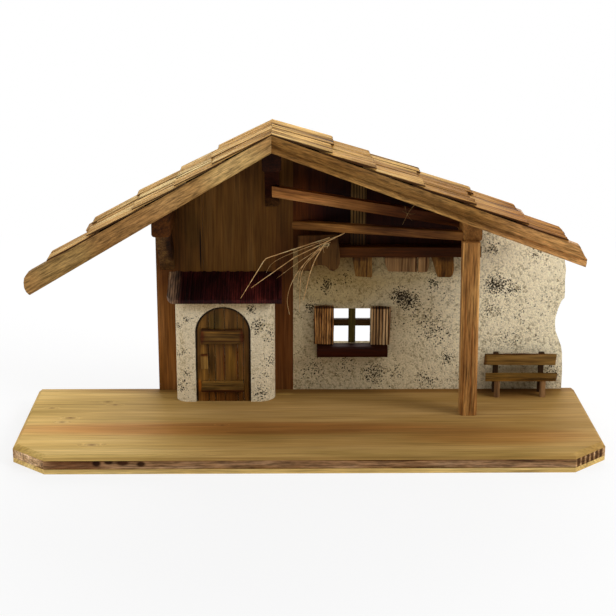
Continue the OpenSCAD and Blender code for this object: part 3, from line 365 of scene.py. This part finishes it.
# The same plaster, cleaner and brighter than the wall's, with painted shade under the canopy's edge
porch_marks = [(-0.054, 0.106, 0.012, 0.6), (-0.041, 0.093, 0.014, 0.35), (-0.041, 0.065, 0.015, 0.4),
               (-0.051, 0.028, 0.012, 0.5), (-0.061, 0.124, 0.008, 0.9), (-0.131, 0.112, 0.006, 0.6),
               (-0.141, 0.105, 0.006, 0.6), (-0.132, 0.051, 0.01, 0.4), (-0.139, 0.036, 0.012, 0.4),
               (-0.046, 0.049, 0.01, 0.35), (-0.136, 0.075, 0.014, 0.2)]
porch_spots = [((-0.09, porch_face, 0.135), (0.08, 0.1, 0.02), (0.8, 0.72, 0.6))]
dress(plaster("porch_lime_plaster", "#e8d9b9", "#b09d72", porch_marks, 0.01, porch_spots), "porch_block")
# Bark: nearly black with a slight shine, ribbed from back to front, and paler at its broken left end
back_to_front = (0, 0, math.pi / 2)
dress(timber("near_black_bark", "#210b0c", "#361312", "#4c1f1a", turn=back_to_front,
             start=(0, 0.01, -0.05), ring_mm=3, late=0.3, fibre_mm=1.8, fibre=0.5, drawn=20, flat=0.05,
             streak=0.3, grooves=(2.5, 0.6, "Y"), tone_mm=10, relief_mm=0.6, rough=0.5,
             spots=[((-0.151, 0.06, 0.144), (0.016, 0.1, 0.05), (9, 30, 19)),
                    ((-0.115, 0.06, 0.144), (0.03, 0.1, 0.04), (0.6, 0.5, 0.6)),
                    ((-0.062, 0.06, 0.144), (0.032, 0.1, 0.04), (1.45, 1.2, 1.2))]), "porch_canopy")


# Door: six planks side by side under the arch, two battens across them and a block for the lock,
# all stained brown and glued on.
door_face, batten_face = 0.056, 0.0526
# Stained planks: a slight shine, each plank in a shade of its own, darker at the joints and the foot,
# and a painted highlight on the left plank beside the lower batten
door_spots = [((-0.116, door_face, 0.07), (0.008, 0.03, 0.1), (1.55, 1.6, 1.7)),
              ((-0.118, door_face, 0.037), (0.0025, 0.01, 0.01), (2.4, 1.6, 0.8)),
              ((-0.092, door_face, 0.024), (0.04, 0.03, 0.012), (0.75, 0.55, 0.45)),
              ((-0.1045, door_face, 0.064), (0.0045, 0.03, 0.024), (0.55, 0.55, 0.5)),
              ((-0.0965, door_face, 0.058), (0.004, 0.03, 0.03), (1.25, 1.15, 1.5)),
              ((-0.091, door_face, 0.064), (0.0018, 0.03, 0.03), (0.8, 0.5, 0.4)),
              ((-0.083, door_face, 0.066), (0.005, 0.03, 0.022), (1.35, 1.4, 1.05)),
              ((-0.0765, door_face, 0.066), (0.002, 0.03, 0.04), (0.95, 0.68, 0.55)),
              ((-0.07, door_face, 0.066), (0.003, 0.03, 0.04), (1.2, 1.1, 1.3)),
              ((-0.1, door_face, 0.11), (0.01, 0.03, 0.016), (0.8, 0.95, 0.9)),
              ((-0.087, door_face, 0.114), (0.004, 0.03, 0.014), (1.3, 1.3, 1.5))]
planks = timber("brown_door_planks", "#533713", "#6d4a1d", "#855f26", turn=upright,
                start=(0, 0, -0.02), ring_mm=3, fibre=0.35, streak=0.5, tone_mm=10, rough=0.42,
                relief_mm=0.15, spots=door_spots)
# Painted shade lies along the door's edge, in a dark line that follows the arch, where the planks sit
# back in the plaster. Its middle is door_mid across, and the arch springs from arch_foot with this
# radius.
door_mid, arch_foot, arch_radius = -0.09185, 0.09666, 0.0293
painted_arch_shade = "#160a04"
corner = add(planks, "SeparateXYZ", {}, {0: add(planks, "TexCoord").outputs["Object"]})
aside = add(planks, "Math", {"operation": "SUBTRACT", 1: door_mid}, {0: corner.outputs["X"]})
above = add(planks, "Math", {"operation": "SUBTRACT", 1: arch_foot}, {0: corner.outputs["Z"]})
above = add(planks, "Math", {"operation": "MAXIMUM", 1: 0.0}, {0: above})
out = add(planks, "CombineXYZ", {}, {"X": aside, "Y": above})
out = add(planks, "VectorMath", {"operation": "LENGTH"}, {0: out}).outputs["Value"]
rim = add(planks, "MapRange", {"From Min": arch_radius - 0.0024, "From Max": arch_radius - 0.001,
                               "To Max": 0.95}, {"Value": out})
skin = planks.node_tree.nodes["Principled BSDF"].inputs["Base Color"]
plain = skin.links[0].from_socket
edged = add(planks, "MixRGB", {"Color2": linear(painted_arch_shade)}, {"Fac": rim, "Color1": plain})
planks.node_tree.links.new(edged.outputs[0], skin)
dress(planks, "door_planks")
# Battens: dark stain with coarse fibres. The upper one has dark ends, painted shade along its top edge
# and a painted highlight just below it. The lower one is paler down to its dark lower edge, with a
# painted highlight along its top.
batten_spots = [((-0.093, batten_face, 0.1015), (0.05, 0.01, 0.0022), (0.45, 0.32, 0.28)),
                ((-0.09, batten_face, 0.0982), (0.03, 0.01, 0.0014), (2.4, 2.3, 2)),
                ((-0.093, batten_face, 0.0885), (0.05, 0.01, 0.001), (0.45, 0.32, 0.28)),
                ((-0.116, batten_face, 0.094), (0.006, 0.01, 0.012), (0.8, 0.4, 0.35)),
                ((-0.0695, batten_face, 0.094), (0.006, 0.01, 0.012), (0.8, 0.4, 0.35)),
                ((-0.093, batten_face, 0.038), (0.05, 0.01, 0.008), (1.4, 1.55, 1.75)),
                ((-0.093, batten_face, 0.0425), (0.04, 0.01, 0.0014), (1.5, 1.4, 1.2)),
                ((-0.093, batten_face, 0.031), (0.05, 0.01, 0.003), (0.55, 0.25, 0.15))]
dress(timber("dark_door_battens", "#452b0c", "#593e19", "#705125", start=(0, 0, -0.012), ring_mm=2.2,
             fibre=0.55, tone_mm=8, rough=0.45, relief_mm=0.3, spots=batten_spots),
      "door_upper_batten", "door_lower_batten")
# Lock block: paler wood with painted shade along its top edge
dress(timber("lighter_lock_block", "#79582a", "#987237", "#b38a4a", turn=upright, ring_mm=2,
             spots=[((-0.112, batten_face, 0.0735), (0.012, 0.01, 0.003), (0.35, 0.18, 0.12))]),
      "door_lock_block")


# Loft: the beam along the top of the plaster, boards cut with curves below it, two joist ends, two
# sloping rails and a thin batten, all of dark-stained softwood pinned and glued.
# Beam: dark red stain, lighter where the daylight falls on its left half
dress(timber("dark_red_beam", "#371a04", "#4f2707", "#66380d", start=(0, -0.08, -0.2), ring_mm=3,
             fibre=0.35, spots=[((0.02, 0.08, 0.18), (0.08, 0.03, 0.03), (1.3, 1.4, 1.4)),
                                ((0.16, 0.08, 0.18), (0.08, 0.03, 0.03), (0.6, 0.55, 0.6))]), "wall_plate")
# Aprons: dull grey-brown, the right ones paler, dark in their cracks, and with painted shade along
# their tops under the beam
dress(timber("grey_brown_apron_boards", "#4a3015", "#61411e", "#775129", turn=upright, ring_mm=3,
             fibre=0.35, rough=0.7,
             spots=[((0.012, 0.075, 0.196), (0.04, 0.02, 0.008), (0.6, 0.5, 0.4)),
                    ((0.012, 0.075, 0.161), (0.04, 0.02, 0.002), (0.5, 0.4, 0.3))]), "apron_board_left")
dress(timber("lighter_apron_boards", "#765734", "#946f47", "#ae875a", turn=upright, ring_mm=3,
             fibre=0.35, rough=0.7,
             spots=[((0.1175, 0.089, 0.165), (0.0014, 0.02, 0.02), (0.15, 0.1, 0.07)),
                    ((0.1285, 0.089, 0.165), (0.0012, 0.02, 0.02), (0.3, 0.2, 0.15)),
                    ((0.105, 0.089, 0.1735), (0.04, 0.02, 0.004), (0.5, 0.4, 0.35))]),
      "apron_boards_right")
# Joist ends: rough brown with dark streaks, shaded by the beam above them
dress(timber("brown_joist_ends", "#543814", "#734f21", "#946c36", turn=upright, ring_mm=2.5, late=0.4,
             fibre=0.5, drawn=7, streak=0.7, tone_mm=8,
             spots=[((0.056, 0.08, 0.174), (0.014, 0.02, 0.005), (0.45, 0.35, 0.3)),
                    ((0.15, 0.08, 0.174), (0.016, 0.02, 0.006), (0.45, 0.35, 0.3)),
                    ((0.0635, 0.08, 0.163), (0.0012, 0.02, 0.02), (0.4, 0.3, 0.2)),
                    ((0.15, 0.08, 0.162), (0.018, 0.02, 0.014), (1.35, 1.25, 1.25))]), "joist_ends")
# Rails: orange-brown, with painted light at the ridge brace and painted shade towards the right purlin
dress(timber("orange_brown_rails", "#63391a", "#875729", "#a87540", turn=(0, -0.16, 0), ring_mm=2.6,
             fibre=0.35, drawn=15, tone_mm=16,
             spots=[((-0.03, 0.06, 0.256), (0.1, 0.05, 0.03), (2.1, 2.15, 2.4)),
                    ((0.14, 0.06, 0.22), (0.12, 0.05, 0.04), (0.4, 0.27, 0.18))]), "loft_rail_upper")
dress(timber("dark_brown_lower_rail", "#5c3513", "#8f5e2b", "#c88f49", turn=(0, 0, 0.38), ring_mm=2.6,
             fibre=0.4, drawn=15, tone_mm=16,
             spots=[((0.15, 0.07, 0.207), (0.13, 0.06, 0.04), (0.25, 0.18, 0.22))]), "loft_rail_lower")
# Batten: grey-brown with upright saw marks, and painted shade at its foot
dress(timber("pale_loft_batten", "#5b4120", "#76592f", "#927242", turn=upright, ring_mm=2.5,
             grooves=(3.2, 0.8, "Z"),
             spots=[((0.054, 0.09, 0.196), (0.03, 0.05, 0.016), (0.3, 0.22, 0.15))]), "loft_batten")


# Straw: a loose tuft of dry stalks tied in a knot at the left apron's top corner. Some hang down the
# wall, the long ones reach over the canopy, and a few bits lie on the upper rail.
def sweep(path, thick, sides=6, steps=28):
    """A stalk as a tube. Its middle follows the bend through the path's points, drawn with straight
    pieces whose corners are cut three times. Round it lie rings of points, the thickness across and
    two thirds of it deep, that thin to half at the end. Gives points in metres and faces."""
    line = np.array(path, float) / metre_mm
    for cut in range(3):
        inner = np.stack([0.75 * line[:-1] + 0.25 * line[1:], 0.25 * line[:-1] + 0.75 * line[1:]], 1)
        line = np.vstack([line[:1], inner.reshape(-1, 3), line[-1:]])
    run = np.concatenate([[0], np.cumsum(np.linalg.norm(np.diff(line, axis=0), axis=1))])
    share = np.linspace(0, 1, steps)
    middle = np.stack([np.interp(share * run[-1], run, line[:, axis]) for axis in range(3)], 1)
    along = np.gradient(middle, axis=0)
    along /= np.linalg.norm(along, axis=1)[:, None]
    side = np.cross(along, [0, 1, 0])
    side /= np.linalg.norm(side, axis=1)[:, None]
    deep = np.cross(side, along)
    turn = np.arange(sides) * 2 * math.pi / sides
    radius = thick / 2 / metre_mm * (1 - 0.5 * share ** 2)[:, None, None]
    rings = middle[:, None] + radius * (np.cos(turn)[None, :, None] * side[:, None]
                                        + 0.67 * np.sin(turn)[None, :, None] * deep[:, None])
    ring, corner = np.meshgrid(np.arange(steps - 1) * sides, np.arange(sides), indexing="ij")
    after = (corner + 1) % sides
    quads = np.stack([ring + corner, ring + sides + corner, ring + sides + after, ring + after], -1)
    ends = [list(range(sides)), list(range(steps * sides - 1, (steps - 1) * sides - 1, -1))]
    return rings.reshape(-1, 3), quads.reshape(-1, 4).tolist() + ends


def piece(name, parts, material):
    """One object from several closed shapes, each given as its points and faces."""
    points, faces, count = [], [], 0
    for shape in parts:
        points.append(shape[0])
        faces += [[count + corner for corner in face] for face in shape[1]]
        count += len(shape[0])
    mesh = bpy.data.meshes.new(name)
    mesh.from_pydata(np.vstack(points).tolist(), [], faces)
    mesh.materials.append(material)
    made = bpy.data.objects.new(name, mesh)
    bpy.context.scene.collection.objects.link(made)
    return made


# Each stalk is its thickness in mm and the places in mm that it bends through
stalks = [(1.1, [(39, 74, 203), (-14, 61, 180), (-16, 60.4, 179), (-61, 50, 149)]),
          (1.1, [(23, 74, 198), (-20, 65, 186), (-43, 58, 180), (-46, 57, 179), (-48, 56, 176),
                 (-72, 45, 139)]),
          (1.2, [(17, 74, 190), (4, 74, 168), (-5, 71, 129)]),
          (0.8, [(13, 74, 188), (-13, 73, 160), (-24, 72, 132), (-20, 70, 113)]),
          (0.8, [(15, 74, 187), (-7, 74, 165), (-9, 73, 140), (-9, 72, 115)]),
          (0.7, [(20, 74, 192), (-8, 73, 168), (-12, 73, 142)]),
          (0.6, [(32, 74, 200), (0, 66, 190), (-38, 60, 176), (-45, 57, 164)]),
          (0.6, [(24, 74, 193), (-6, 68, 176), (-34, 62, 156)]),
          (0.7, [(14, 74, 186), (19, 73.5, 193), (24, 74, 190), (16, 73.5, 187), (12, 74, 192)]),
          (0.6, [(20, 74, 186), (23, 73.5, 193), (15, 73.5, 191), (17, 74, 181)])]
# Dry straw: pale gold with a soft shine along each stalk, and a darker brown where it lies on the rail
dry_straw = timber("dry_straw", "#af8349", "#efbe7c", "#fff1b7", ring_mm=6, fibre_mm=0.5, fibre=0.2,
                   streak=0.2, tone_mm=6, relief_mm=0.02, rough=0.45, sheen=0.4)
darker_rail_straw = timber("darker_rail_straw", "#5e4022", "#8a6840", "#b8935f", ring_mm=6, fibre_mm=0.5, fibre=0.2,
                     streak=0.2, tone_mm=6, relief_mm=0.02, rough=0.6)
tuft = piece("straw_tuft", [sweep(path, thick) for thick, path in stalks], dry_straw)
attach(tuft, "root")
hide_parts("straw")
rail_stalks = [(0.7, [(111, 53.4, 238), (105, 53.3, 231), (99, 53.3, 217)]),
               (0.6, [(98, 53.5, 232), (106, 53.3, 228), (112, 53.4, 229)]),
               (0.5, [(101, 53.5, 237), (103, 53.3, 228), (109, 53.4, 221)])]
bits = piece("straw_bits_on_rail", [sweep(path, thick) for thick, path in rail_stalks], darker_rail_straw)
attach(bits, "root")


# Roof frame: three purlins from the back wall to the front boards, a knee brace under the left and
# the ridge one, and a bevelled post under the right one. They are stained reddish brown and glued.
# Left and ridge purlins: dark red with strong streaks, the ridge one in deep shade
dress(timber("dark_red_purlins", "#371a06", "#4d2909", "#633911", turn=back_to_front, ring_mm=3,
             late=0.4, fibre=0.4, streak=0.6, tone_mm=14,
             spots=[((-0.038, 0.018, 0.296), (0.04, 0.04, 0.04), (0.3, 0.2, 0.2))]),
      "purlin_left", "purlin_ridge")
# Right purlin: lighter, with a slight shine on its end
dress(timber("reddish_brown_purlin", "#70461e", "#956430", "#b08045", turn=back_to_front,
             start=(0, -0.02, -0.14), ring_mm=3, fibre=0.3, rough=0.5), "purlin_right")
# Braces: dark brown with coarse streaks along the slope, painted shade over the ridge one's upper end,
# and a painted shadow down the left one's side
dress(timber("dark_knee_braces", "#432d15", "#5d3f1f", "#78582e", turn=(math.pi / 4, math.pi / 2, 0),
             ring_mm=3, fibre=0.5, drawn=10, streak=0.8, tone_mm=9,
             spots=[((-0.038, 0.06, 0.27), (0.05, 0.1, 0.06), (0.2, 0.08, 0.14)),
                    ((-0.1455, 0.04, 0.19), (0.007, 0.09, 0.035), (0.22, 0.13, 0.1)),
                    ((-0.157, 0.04, 0.19), (0.005, 0.09, 0.035), (1.2, 1.2, 1.1))]),
      "brace_left", "brace_ridge")
# Post: reddish brown with a slight shine, painted highlights along both bevelled edges, and dark in
# two upright streaks
post_face = 0.01
dress(timber("reddish_brown_post", "#744b22", "#9c6b37", "#b8894d", turn=upright,
             start=(0, -0.02, -0.14), ring_mm=3, fibre_mm=1.3, fibre=0.5, drawn=16, streak=0.6,
             tone_mm=14, rough=0.5, wander=3,
             spots=[((0.1765, post_face, 0.11), (0.0014, 0.01, 0.2), (1.5, 1.6, 1.7)),
                    ((0.1593, post_face, 0.11), (0.0012, 0.01, 0.2), (1.4, 1.5, 1.6)),
                    ((0.163, post_face, 0.1), (0.0012, 0.01, 0.14), (0.6, 0.5, 0.4)),
                    ((0.171, post_face, 0.07), (0.0012, 0.01, 0.1), (0.7, 0.55, 0.45))]), "post")


# Roof: a wide board on each front edge, with three roof boards behind it on either side, all of
# sawn pine with a brown stain, glued to the purlins.
pitch_left, pitch_right = math.radians(29.6), math.radians(19.85)
# Left boards: olive brown with short fibres along the slope, paler towards the ridge
dress(timber("olive_brown_front_board", "#8e6736", "#a57d49", "#b88d58", turn=(0, pitch_left, 0),
             start=(0, 0, -0.05), ring_mm=3.6, late=0.08, fibre_mm=1.4, fibre=0.5, drawn=8,
             streak=0.12, tone_mm=14, rough=0.6,
             spots=[((-0.251, 0.006, 0.188), (0.045, 0.03, 0.04), (0.93, 1.02, 1.02)),
                    ((-0.181, 0.006, 0.223), (0.06, 0.03, 0.04), (0.85, 0.79, 0.74)),
                    ((-0.07, 0.006, 0.28), (0.05, 0.03, 0.04), (1.3, 1.5, 1.6))]),
      "barge_board_left", "roof_boards_left")
# Right boards: redder, and worn to bare wood towards the eave
dress(timber("reddish_brown_front_board", "#7e572a", "#946a35", "#a4793f", turn=(0, -pitch_right, 0),
             start=(0.1, 0, -0.06), ring_mm=3.6, late=0.08, fibre_mm=1.4, fibre=0.5, drawn=8,
             streak=0.12, tone_mm=14, rough=0.6,
             spots=[((0.28, 0.01, 0.2), (0.13, 0.2, 0.1), (1.7, 1.8, 2.4)),
                    ((0.1, 0.006, 0.265), (0.08, 0.03, 0.05), (1.1, 1.18, 1.35))]),
      "barge_board_right", "roof_boards_right")


# Shingles: short boards split from pine, glued on in rows from the eave up, so that each butt lies on
# the row below. Their faces are rough from the split, and darker in the hollows and along the joints.
ridge = np.array([-0.0384, 0, 0.3197])
roof_front, roof_depth = 0.006, 0.094
lap, head_t, butt_t, gap = 0.013, 0.002, 0.0036, 0.0017
# A butt stands up to stagger_reach out of its row's line, by the sine of turns of this many degrees
stagger_reach, stagger_turn = 0.004, 137
# The split leaves hollows up to split_depth deep. No two butts are equally thick, by up to uneven,
# and the heads differ by a quarter of that. The split's noise is given in three sizes, each as how
# many lumps lie across, how deep they are and how sharp.
split_depth, uneven = 0.0009, 0.0013
split_noise = ((7, 0.5, 1.5), (16, 0.95, 4), (30, 0.6, 5))
# Points lie slice_w apart across a shingle. Its butt frays by up to fray and opens in a few splits.
slice_w, fray, open_split, open_split_w = 0.0006, 0.0014, 0.005, 0.0007
# A top is darkened from this share of its length to the butt, and this much at least there and at its
# sides
darkened_from, dark_butt, dark_side = 0.982, 0.7, 0.6
# Each shingle's grain comes from a place of its own, up to half a metre away
grain_reach = [0.5, 0.3, 0.3]
# On each side: the pitch, the way along X, how far out the eave is, the butts as shares of the slope,
# the share of the depth that the lowest row covers, and every row's joints as shares of the depth
roof = {"left": {"pitch": pitch_left, "way": -1, "eave": 0.2479,
                 "butt_shares": [0.234, 0.392, 0.565, 0.756, 0.926], "short_share": 0.383,
                 "joint_shares": [[0, 0.35, 0.71, 1], [0, 0.31, 0.64, 1], [0, 0.4, 0.7, 1],
                                  [0, 0.383, 0.68, 1], [0, 0.383]]},
        "right": {"pitch": pitch_right, "way": 1, "eave": 0.3162,
                  "butt_shares": [0.19, 0.331, 0.489, 0.657, 0.828, 0.96], "short_share": 0.64,
                  "joint_shares": [[0, 0.47, 1], [0, 0.33, 0.68, 1], [0, 0.42, 0.74, 1],
                                   [0, 0.3, 0.62, 1], [0, 0.64, 1], [0, 0.32, 0.64]]}}


def ripple(chance, count, cells):
    """Random heights between 0 and 1 at even places, joined by straight lines."""
    return np.interp(np.linspace(0, cells, count), np.arange(cells + 1), chance.random(cells + 1))


def shingle(side, row, joint):
    """A split shingle. Seen along the roof it is a closed outline: its underside rises from the boards
    to the next row's face, and its top from head_t to the butt. The outline is repeated every slice_w
    across. There the top sinks by the split's depth, which is noise in three sizes that changes
    slowly from head to butt, and by a little at the head and at the butt, as no two are equally
    thick. The butt's top edge is darkened, and the butt is cut back by more noise and by a few open
    splits. Gives points, faces, the places that its grain is drawn from, and how hollow each point is."""
    pitch, way, eave, butts, short, joints = roof[side].values()
    length = eave / math.cos(pitch)
    last = len(butts) - 1
    chance = np.random.default_rng(100 * row + 10 * joint + way + 1)
    edges = joints[row]
    near = roof_front + roof_depth * edges[joint] + (gap / 2 if joint else 0)
    far = roof_front + roof_depth * edges[joint + 1] - (gap / 2 if joint + 2 < len(edges) else 0)
    heads = [0] + [length * butt_share - lap for butt_share in butts[:-1]]
    climbs = [0] * len(butts)
    for each in range(last, -1, -1):
        bed = 0 if each == last else head_t + climbs[each + 1] * (length * butts[each] - heads[each + 1])
        climbs[each] = (bed + butt_t - head_t) / (length * butts[each] - heads[each])
    lies_flat = row == last or (row == last - 1 and edges[joint] >= short)
    stagger = stagger_reach * math.sin(math.radians(stagger_turn * (3 * row + joint))) if joint else 0
    butt = length * butts[row] + stagger
    climb = (butt_t - head_t) / (butt - heads[row]) if lies_flat else climbs[row]
    across = max(20, round((far - near) / slice_w))
    y = np.linspace(near, far, across)
    cut = fray * ripple(chance, across, across // 3) ** 2
    for split_share in chance.random(3):
        from_split = np.abs(y - near - split_share * (far - near))
        cut += open_split * chance.random() * np.clip(1 - from_split / open_split_w, 0, 1)
    end = butt - cut
    down = 17
    share = np.append(np.linspace(0, 1, down - 1)[:-1], [darkened_from, 1])
    top_head = -head_t * math.tan(pitch) if row == 0 else heads[row]
    top_run = top_head + share[:, None] * (end - top_head)[None]
    hollow = np.zeros((down, across))
    for cells, deep, sharp in split_noise:
        head_noise, butt_noise = ripple(chance, across, cells), ripple(chance, across, cells)
        mixed = head_noise[None] * (1 - share[:, None]) + butt_noise[None] * share[:, None]
        hollow += deep * mixed ** sharp
    hollow = np.clip(hollow, 0, 1)
    hollow[-1] = np.maximum(hollow[-1], dark_butt)
    hollow[:, [0, -1]] = 1
    hollow[:, [1, -2]] = np.maximum(hollow[:, [1, -2]], dark_side)
    top_rise = head_t + climb * (top_run - heads[row]) - split_depth * hollow
    top_rise -= uneven * (share[:, None] * chance.random() + 0.25 * (1 - share[:, None]) * chance.random())
    next_head = heads[row + 1] if not lies_flat else (heads[row] + butt) / 2
    next_rise = 0 if lies_flat else head_t
    end_rise = np.zeros(across) if lies_flat else head_t + climbs[row + 1] * (end - next_head)
    run = np.vstack([top_run, end, np.full(across, next_head), np.full(across, heads[row])])
    rise = np.vstack([top_rise, end_rise, np.full(across, next_rise), np.zeros(across)])
    hollow = np.vstack([hollow, np.full(across, 0.2), np.ones((2, across))])
    place = np.stack([run, np.broadcast_to(y, run.shape), rise], -1)
    slope = np.array([way * math.cos(pitch), 0, -math.sin(pitch)])
    away = np.array([way * math.sin(pitch), 0, math.cos(pitch)])
    points = ridge + run[..., None] * slope + rise[..., None] * away
    points[..., 1] = y
    around = len(run)
    here, column = np.meshgrid(np.arange(around), np.arange(across - 1), indexing="ij")
    after = (here + 1) % around
    quads = np.stack([here * across + column, here * across + column + 1,
                      after * across + column + 1, after * across + column], -1).reshape(-1, 4)
    ends = np.arange(around) * across
    caps = [ends.tolist(), (ends[::-1] + across - 1).tolist()]
    if way > 0:
        quads = quads[:, ::-1]
        caps = [caps[0][::-1], caps[1][::-1]]
    offset = chance.random(3) * grain_reach
    return points.reshape(-1, 3), quads.tolist() + caps, place.reshape(-1, 3) + offset, hollow.ravel()


# Split pine: pale fibrous faces with dark hollows and joints, honey on the left and browner on the
# right, where the light falls away
hollow_dark = "#341808"
split_pine = {"left": timber("split_pine_shingle", "#b98c4d", "#e8ba73", "#fee5a5",
                             start=(0, 0.02, -0.05), ring_mm=2.2, late=0.3, fibre=0.4, drawn=14,
                             streak=0.6, tone_mm=22, relief_mm=0.25, rough=0.8, split=hollow_dark,
                             spots=[((-0.06, 0.05, 0.31), (0.05, 0.2, 0.04), (0.93, 0.85, 0.72)),
                                    ((-0.25, 0.05, 0.2), (0.09, 0.2, 0.08), (0.86, 0.8, 0.75))]),
              "right": timber("browner_split_shingle", "#9e7135", "#c69751", "#e1ba71",
                              start=(0, 0.02, -0.05), ring_mm=2.2, late=0.3, fibre=0.4, drawn=14,
                              streak=0.6, tone_mm=22, relief_mm=0.25, rough=0.8, split=hollow_dark,
                              spots=[((0.23, 0.05, 0.22), (0.18, 0.2, 0.1), (0.76, 0.65, 0.5)),
                                     ((0.25, 0.05, 0.22), (0.07, 0.2, 0.05), (0.98, 0.86, 0.72)),
                                     ((0.0, 0.05, 0.315), (0.06, 0.2, 0.05), (1.25, 1.32, 1.32))])}
for side in ("left", "right"):
    for row, edges in enumerate(roof[side]["joint_shares"]):
        parts = [shingle(side, row, joint) for joint in range(len(edges) - 1)]
        name = f"shingles_{side}_{row + 1}"
        made = piece("split_" + name, parts, split_pine[side])
        grain = made.data.attributes.new("grain", "FLOAT_VECTOR", "POINT")
        grain.data.foreach_set("vector", np.vstack([part[2] for part in parts]).ravel())
        hollow = made.data.attributes.new("hollow", "FLOAT", "POINT")
        hollow.data.foreach_set("value", np.concatenate([part[3] for part in parts]))
        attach(made, "root")
        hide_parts(name)


# Bench: a seat on two legs and two tall back posts that carry the backrest. It is thin softwood
# stained dark, and glued.
seat_face, back_face = 0.0639, 0.0792
# Seat: dark brown, with a light line along its lower front edge
dress(timber("dark_bench_seat_wood", "#49310d", "#654617", "#7e5c25", ring_mm=2.4, fibre=0.5, drawn=12,
             streak=0.5, tone_mm=10,
             spots=[((0.2357, seat_face, 0.038), (0.06, 0.01, 0.0016), (2.2, 2, 1.8))]), "bench_seat")
# Backrest: paler olive brown, dark along its top edge and at its left end
dress(timber("olive_bench_back_wood", "#67471d", "#896630", "#aa844c", ring_mm=2.4, fibre=0.35,
             tone_mm=14,
             spots=[((0.2345, back_face, 0.0645), (0.06, 0.02, 0.0022), (0.35, 0.25, 0.2)),
                    ((0.195, back_face, 0.058), (0.004, 0.02, 0.01), (0.5, 0.4, 0.35))]),
      "bench_backrest")
# Front legs: a lighter brown, painted light as they stand in the light. Back posts: almost black, with
# painted shade under the seat.
dress(timber("dark_bench_leg_wood", "#674931", "#8c6843", "#b38b5d", turn=upright, ring_mm=2.4,
             fibre=0.25), "bench_front_legs")
dress(timber("dark_bench_post_wood", "#20130a", "#382412", "#5a3f22", turn=upright, ring_mm=2.4,
             fibre=0.3), "bench_back_posts")


# Studio: a floor of white paper that glows to the camera, stronger away from the object, even light
# all round, and soft lamps above, behind and on either side.
reach = 6.0
floor_mesh = bpy.data.meshes.new("floor")
floor_mesh.from_pydata([(-reach, -reach, 0), (reach, -reach, 0), (reach, reach, 0), (-reach, reach, 0)],
                       [], [(0, 1, 2, 3)])
floor = bpy.data.objects.new("floor", floor_mesh)
bpy.context.scene.collection.objects.link(floor)
paper, surface, place = finish("white_studio_paper", 0.9, 0.1)
surface.inputs["Base Color"].default_value = linear("#f6f6f6")
# The glow is three quarters as strong near the object, and grows to its full strength 1 m away
glow = add(paper, "Emission", {"Strength": 1.0})
from_middle = add(paper, "VectorMath", {"operation": "LENGTH"}, {0: place}).outputs["Value"]
fade = add(paper, "MapRange", {"From Min": 0.35, "From Max": 1.0, "To Min": 0.75, "To Max": 1.0},
           {"Value": from_middle})
seen = add(paper, "LightPath").outputs["Is Camera Ray"]
seen = add(paper, "Math", {"operation": "MULTIPLY"}, {0: fade, 1: seen})
mixed = add(paper, "MixShader", {}, {0: seen, 1: surface, 2: glow})
paper.node_tree.links.new(mixed.outputs[0], paper.node_tree.nodes["Material Output"].inputs["Surface"])
floor_mesh.materials.append(paper)

world = bpy.data.worlds.new("studio")
bpy.context.scene.world = world
world.use_nodes = True
even = world.node_tree.nodes["Background"]
even.inputs["Color"].default_value = (1, 1, 1, 1)
even.inputs["Strength"].default_value = 0.26
seen = add(world, "LightPath").outputs["Is Camera Ray"]
white = add(world, "Background", {"Color": (1, 1, 1, 1)})
pick = add(world, "MixShader", {}, {0: seen, 1: even, 2: white})
world.node_tree.links.new(pick.outputs[0], world.node_tree.nodes["World Output"].inputs["Surface"])

# A lamp is its name, its place, the width of its square in metres and its power in watts
aim = Vector((0, 0, 0.1))
for name, spot, size, power in (("top_softbox", (0, -0.25, 1.9), 1.4, 9),
                                ("right_softbox", (1.5, -0.6, 1.1), 0.7, 17),
                                ("back_softbox", (0.15, 1.5, 0.7), 1.4, 24),
                                ("left_fill", (-1.7, -0.5, 0.5), 0.8, 9)):
    lamp = bpy.data.lights.new(name, "AREA")
    lamp.size = size
    lamp.energy = power
    holder = bpy.data.objects.new(name, lamp)
    holder.location = spot
    holder.visible_camera = False
    holder.rotation_euler = (Vector(spot) - aim).to_track_quat("Z", "Y").to_euler()
    bpy.context.scene.collection.objects.link(holder)


# Camera: where the photograph was taken from, 1.44 m in front of the board's middle and 0.57 m up,
# a little to its left and looking down on it through a long lens.
stand = (-0.0259, -1.4367, 0.5727)
yaw, dip, roll = math.radians(0.982), math.radians(16.70), math.radians(0.172)
camera_data = bpy.data.cameras.new("camera")
camera_data.sensor_width = 36
camera_data.lens = 84.98
camera_data.clip_start = 0.1
camera_data.clip_end = 30
camera = bpy.data.objects.new("camera", camera_data)
bpy.context.scene.collection.objects.link(camera)
ahead = np.array([math.sin(yaw) * math.cos(dip), math.cos(yaw) * math.cos(dip), -math.sin(dip)])
across = np.array([math.cos(yaw), -math.sin(yaw), 0])
upward = np.cross(across, ahead)
across, upward = (math.cos(roll) * across + math.sin(roll) * upward,
                  math.cos(roll) * upward - math.sin(roll) * across)
pose = Matrix(np.column_stack([across, upward, -ahead]).tolist()).to_4x4()
pose.translation = stand
camera.matrix_world = pose
bpy.context.scene.camera = camera
bpy.context.scene.view_settings.view_transform = "Standard"
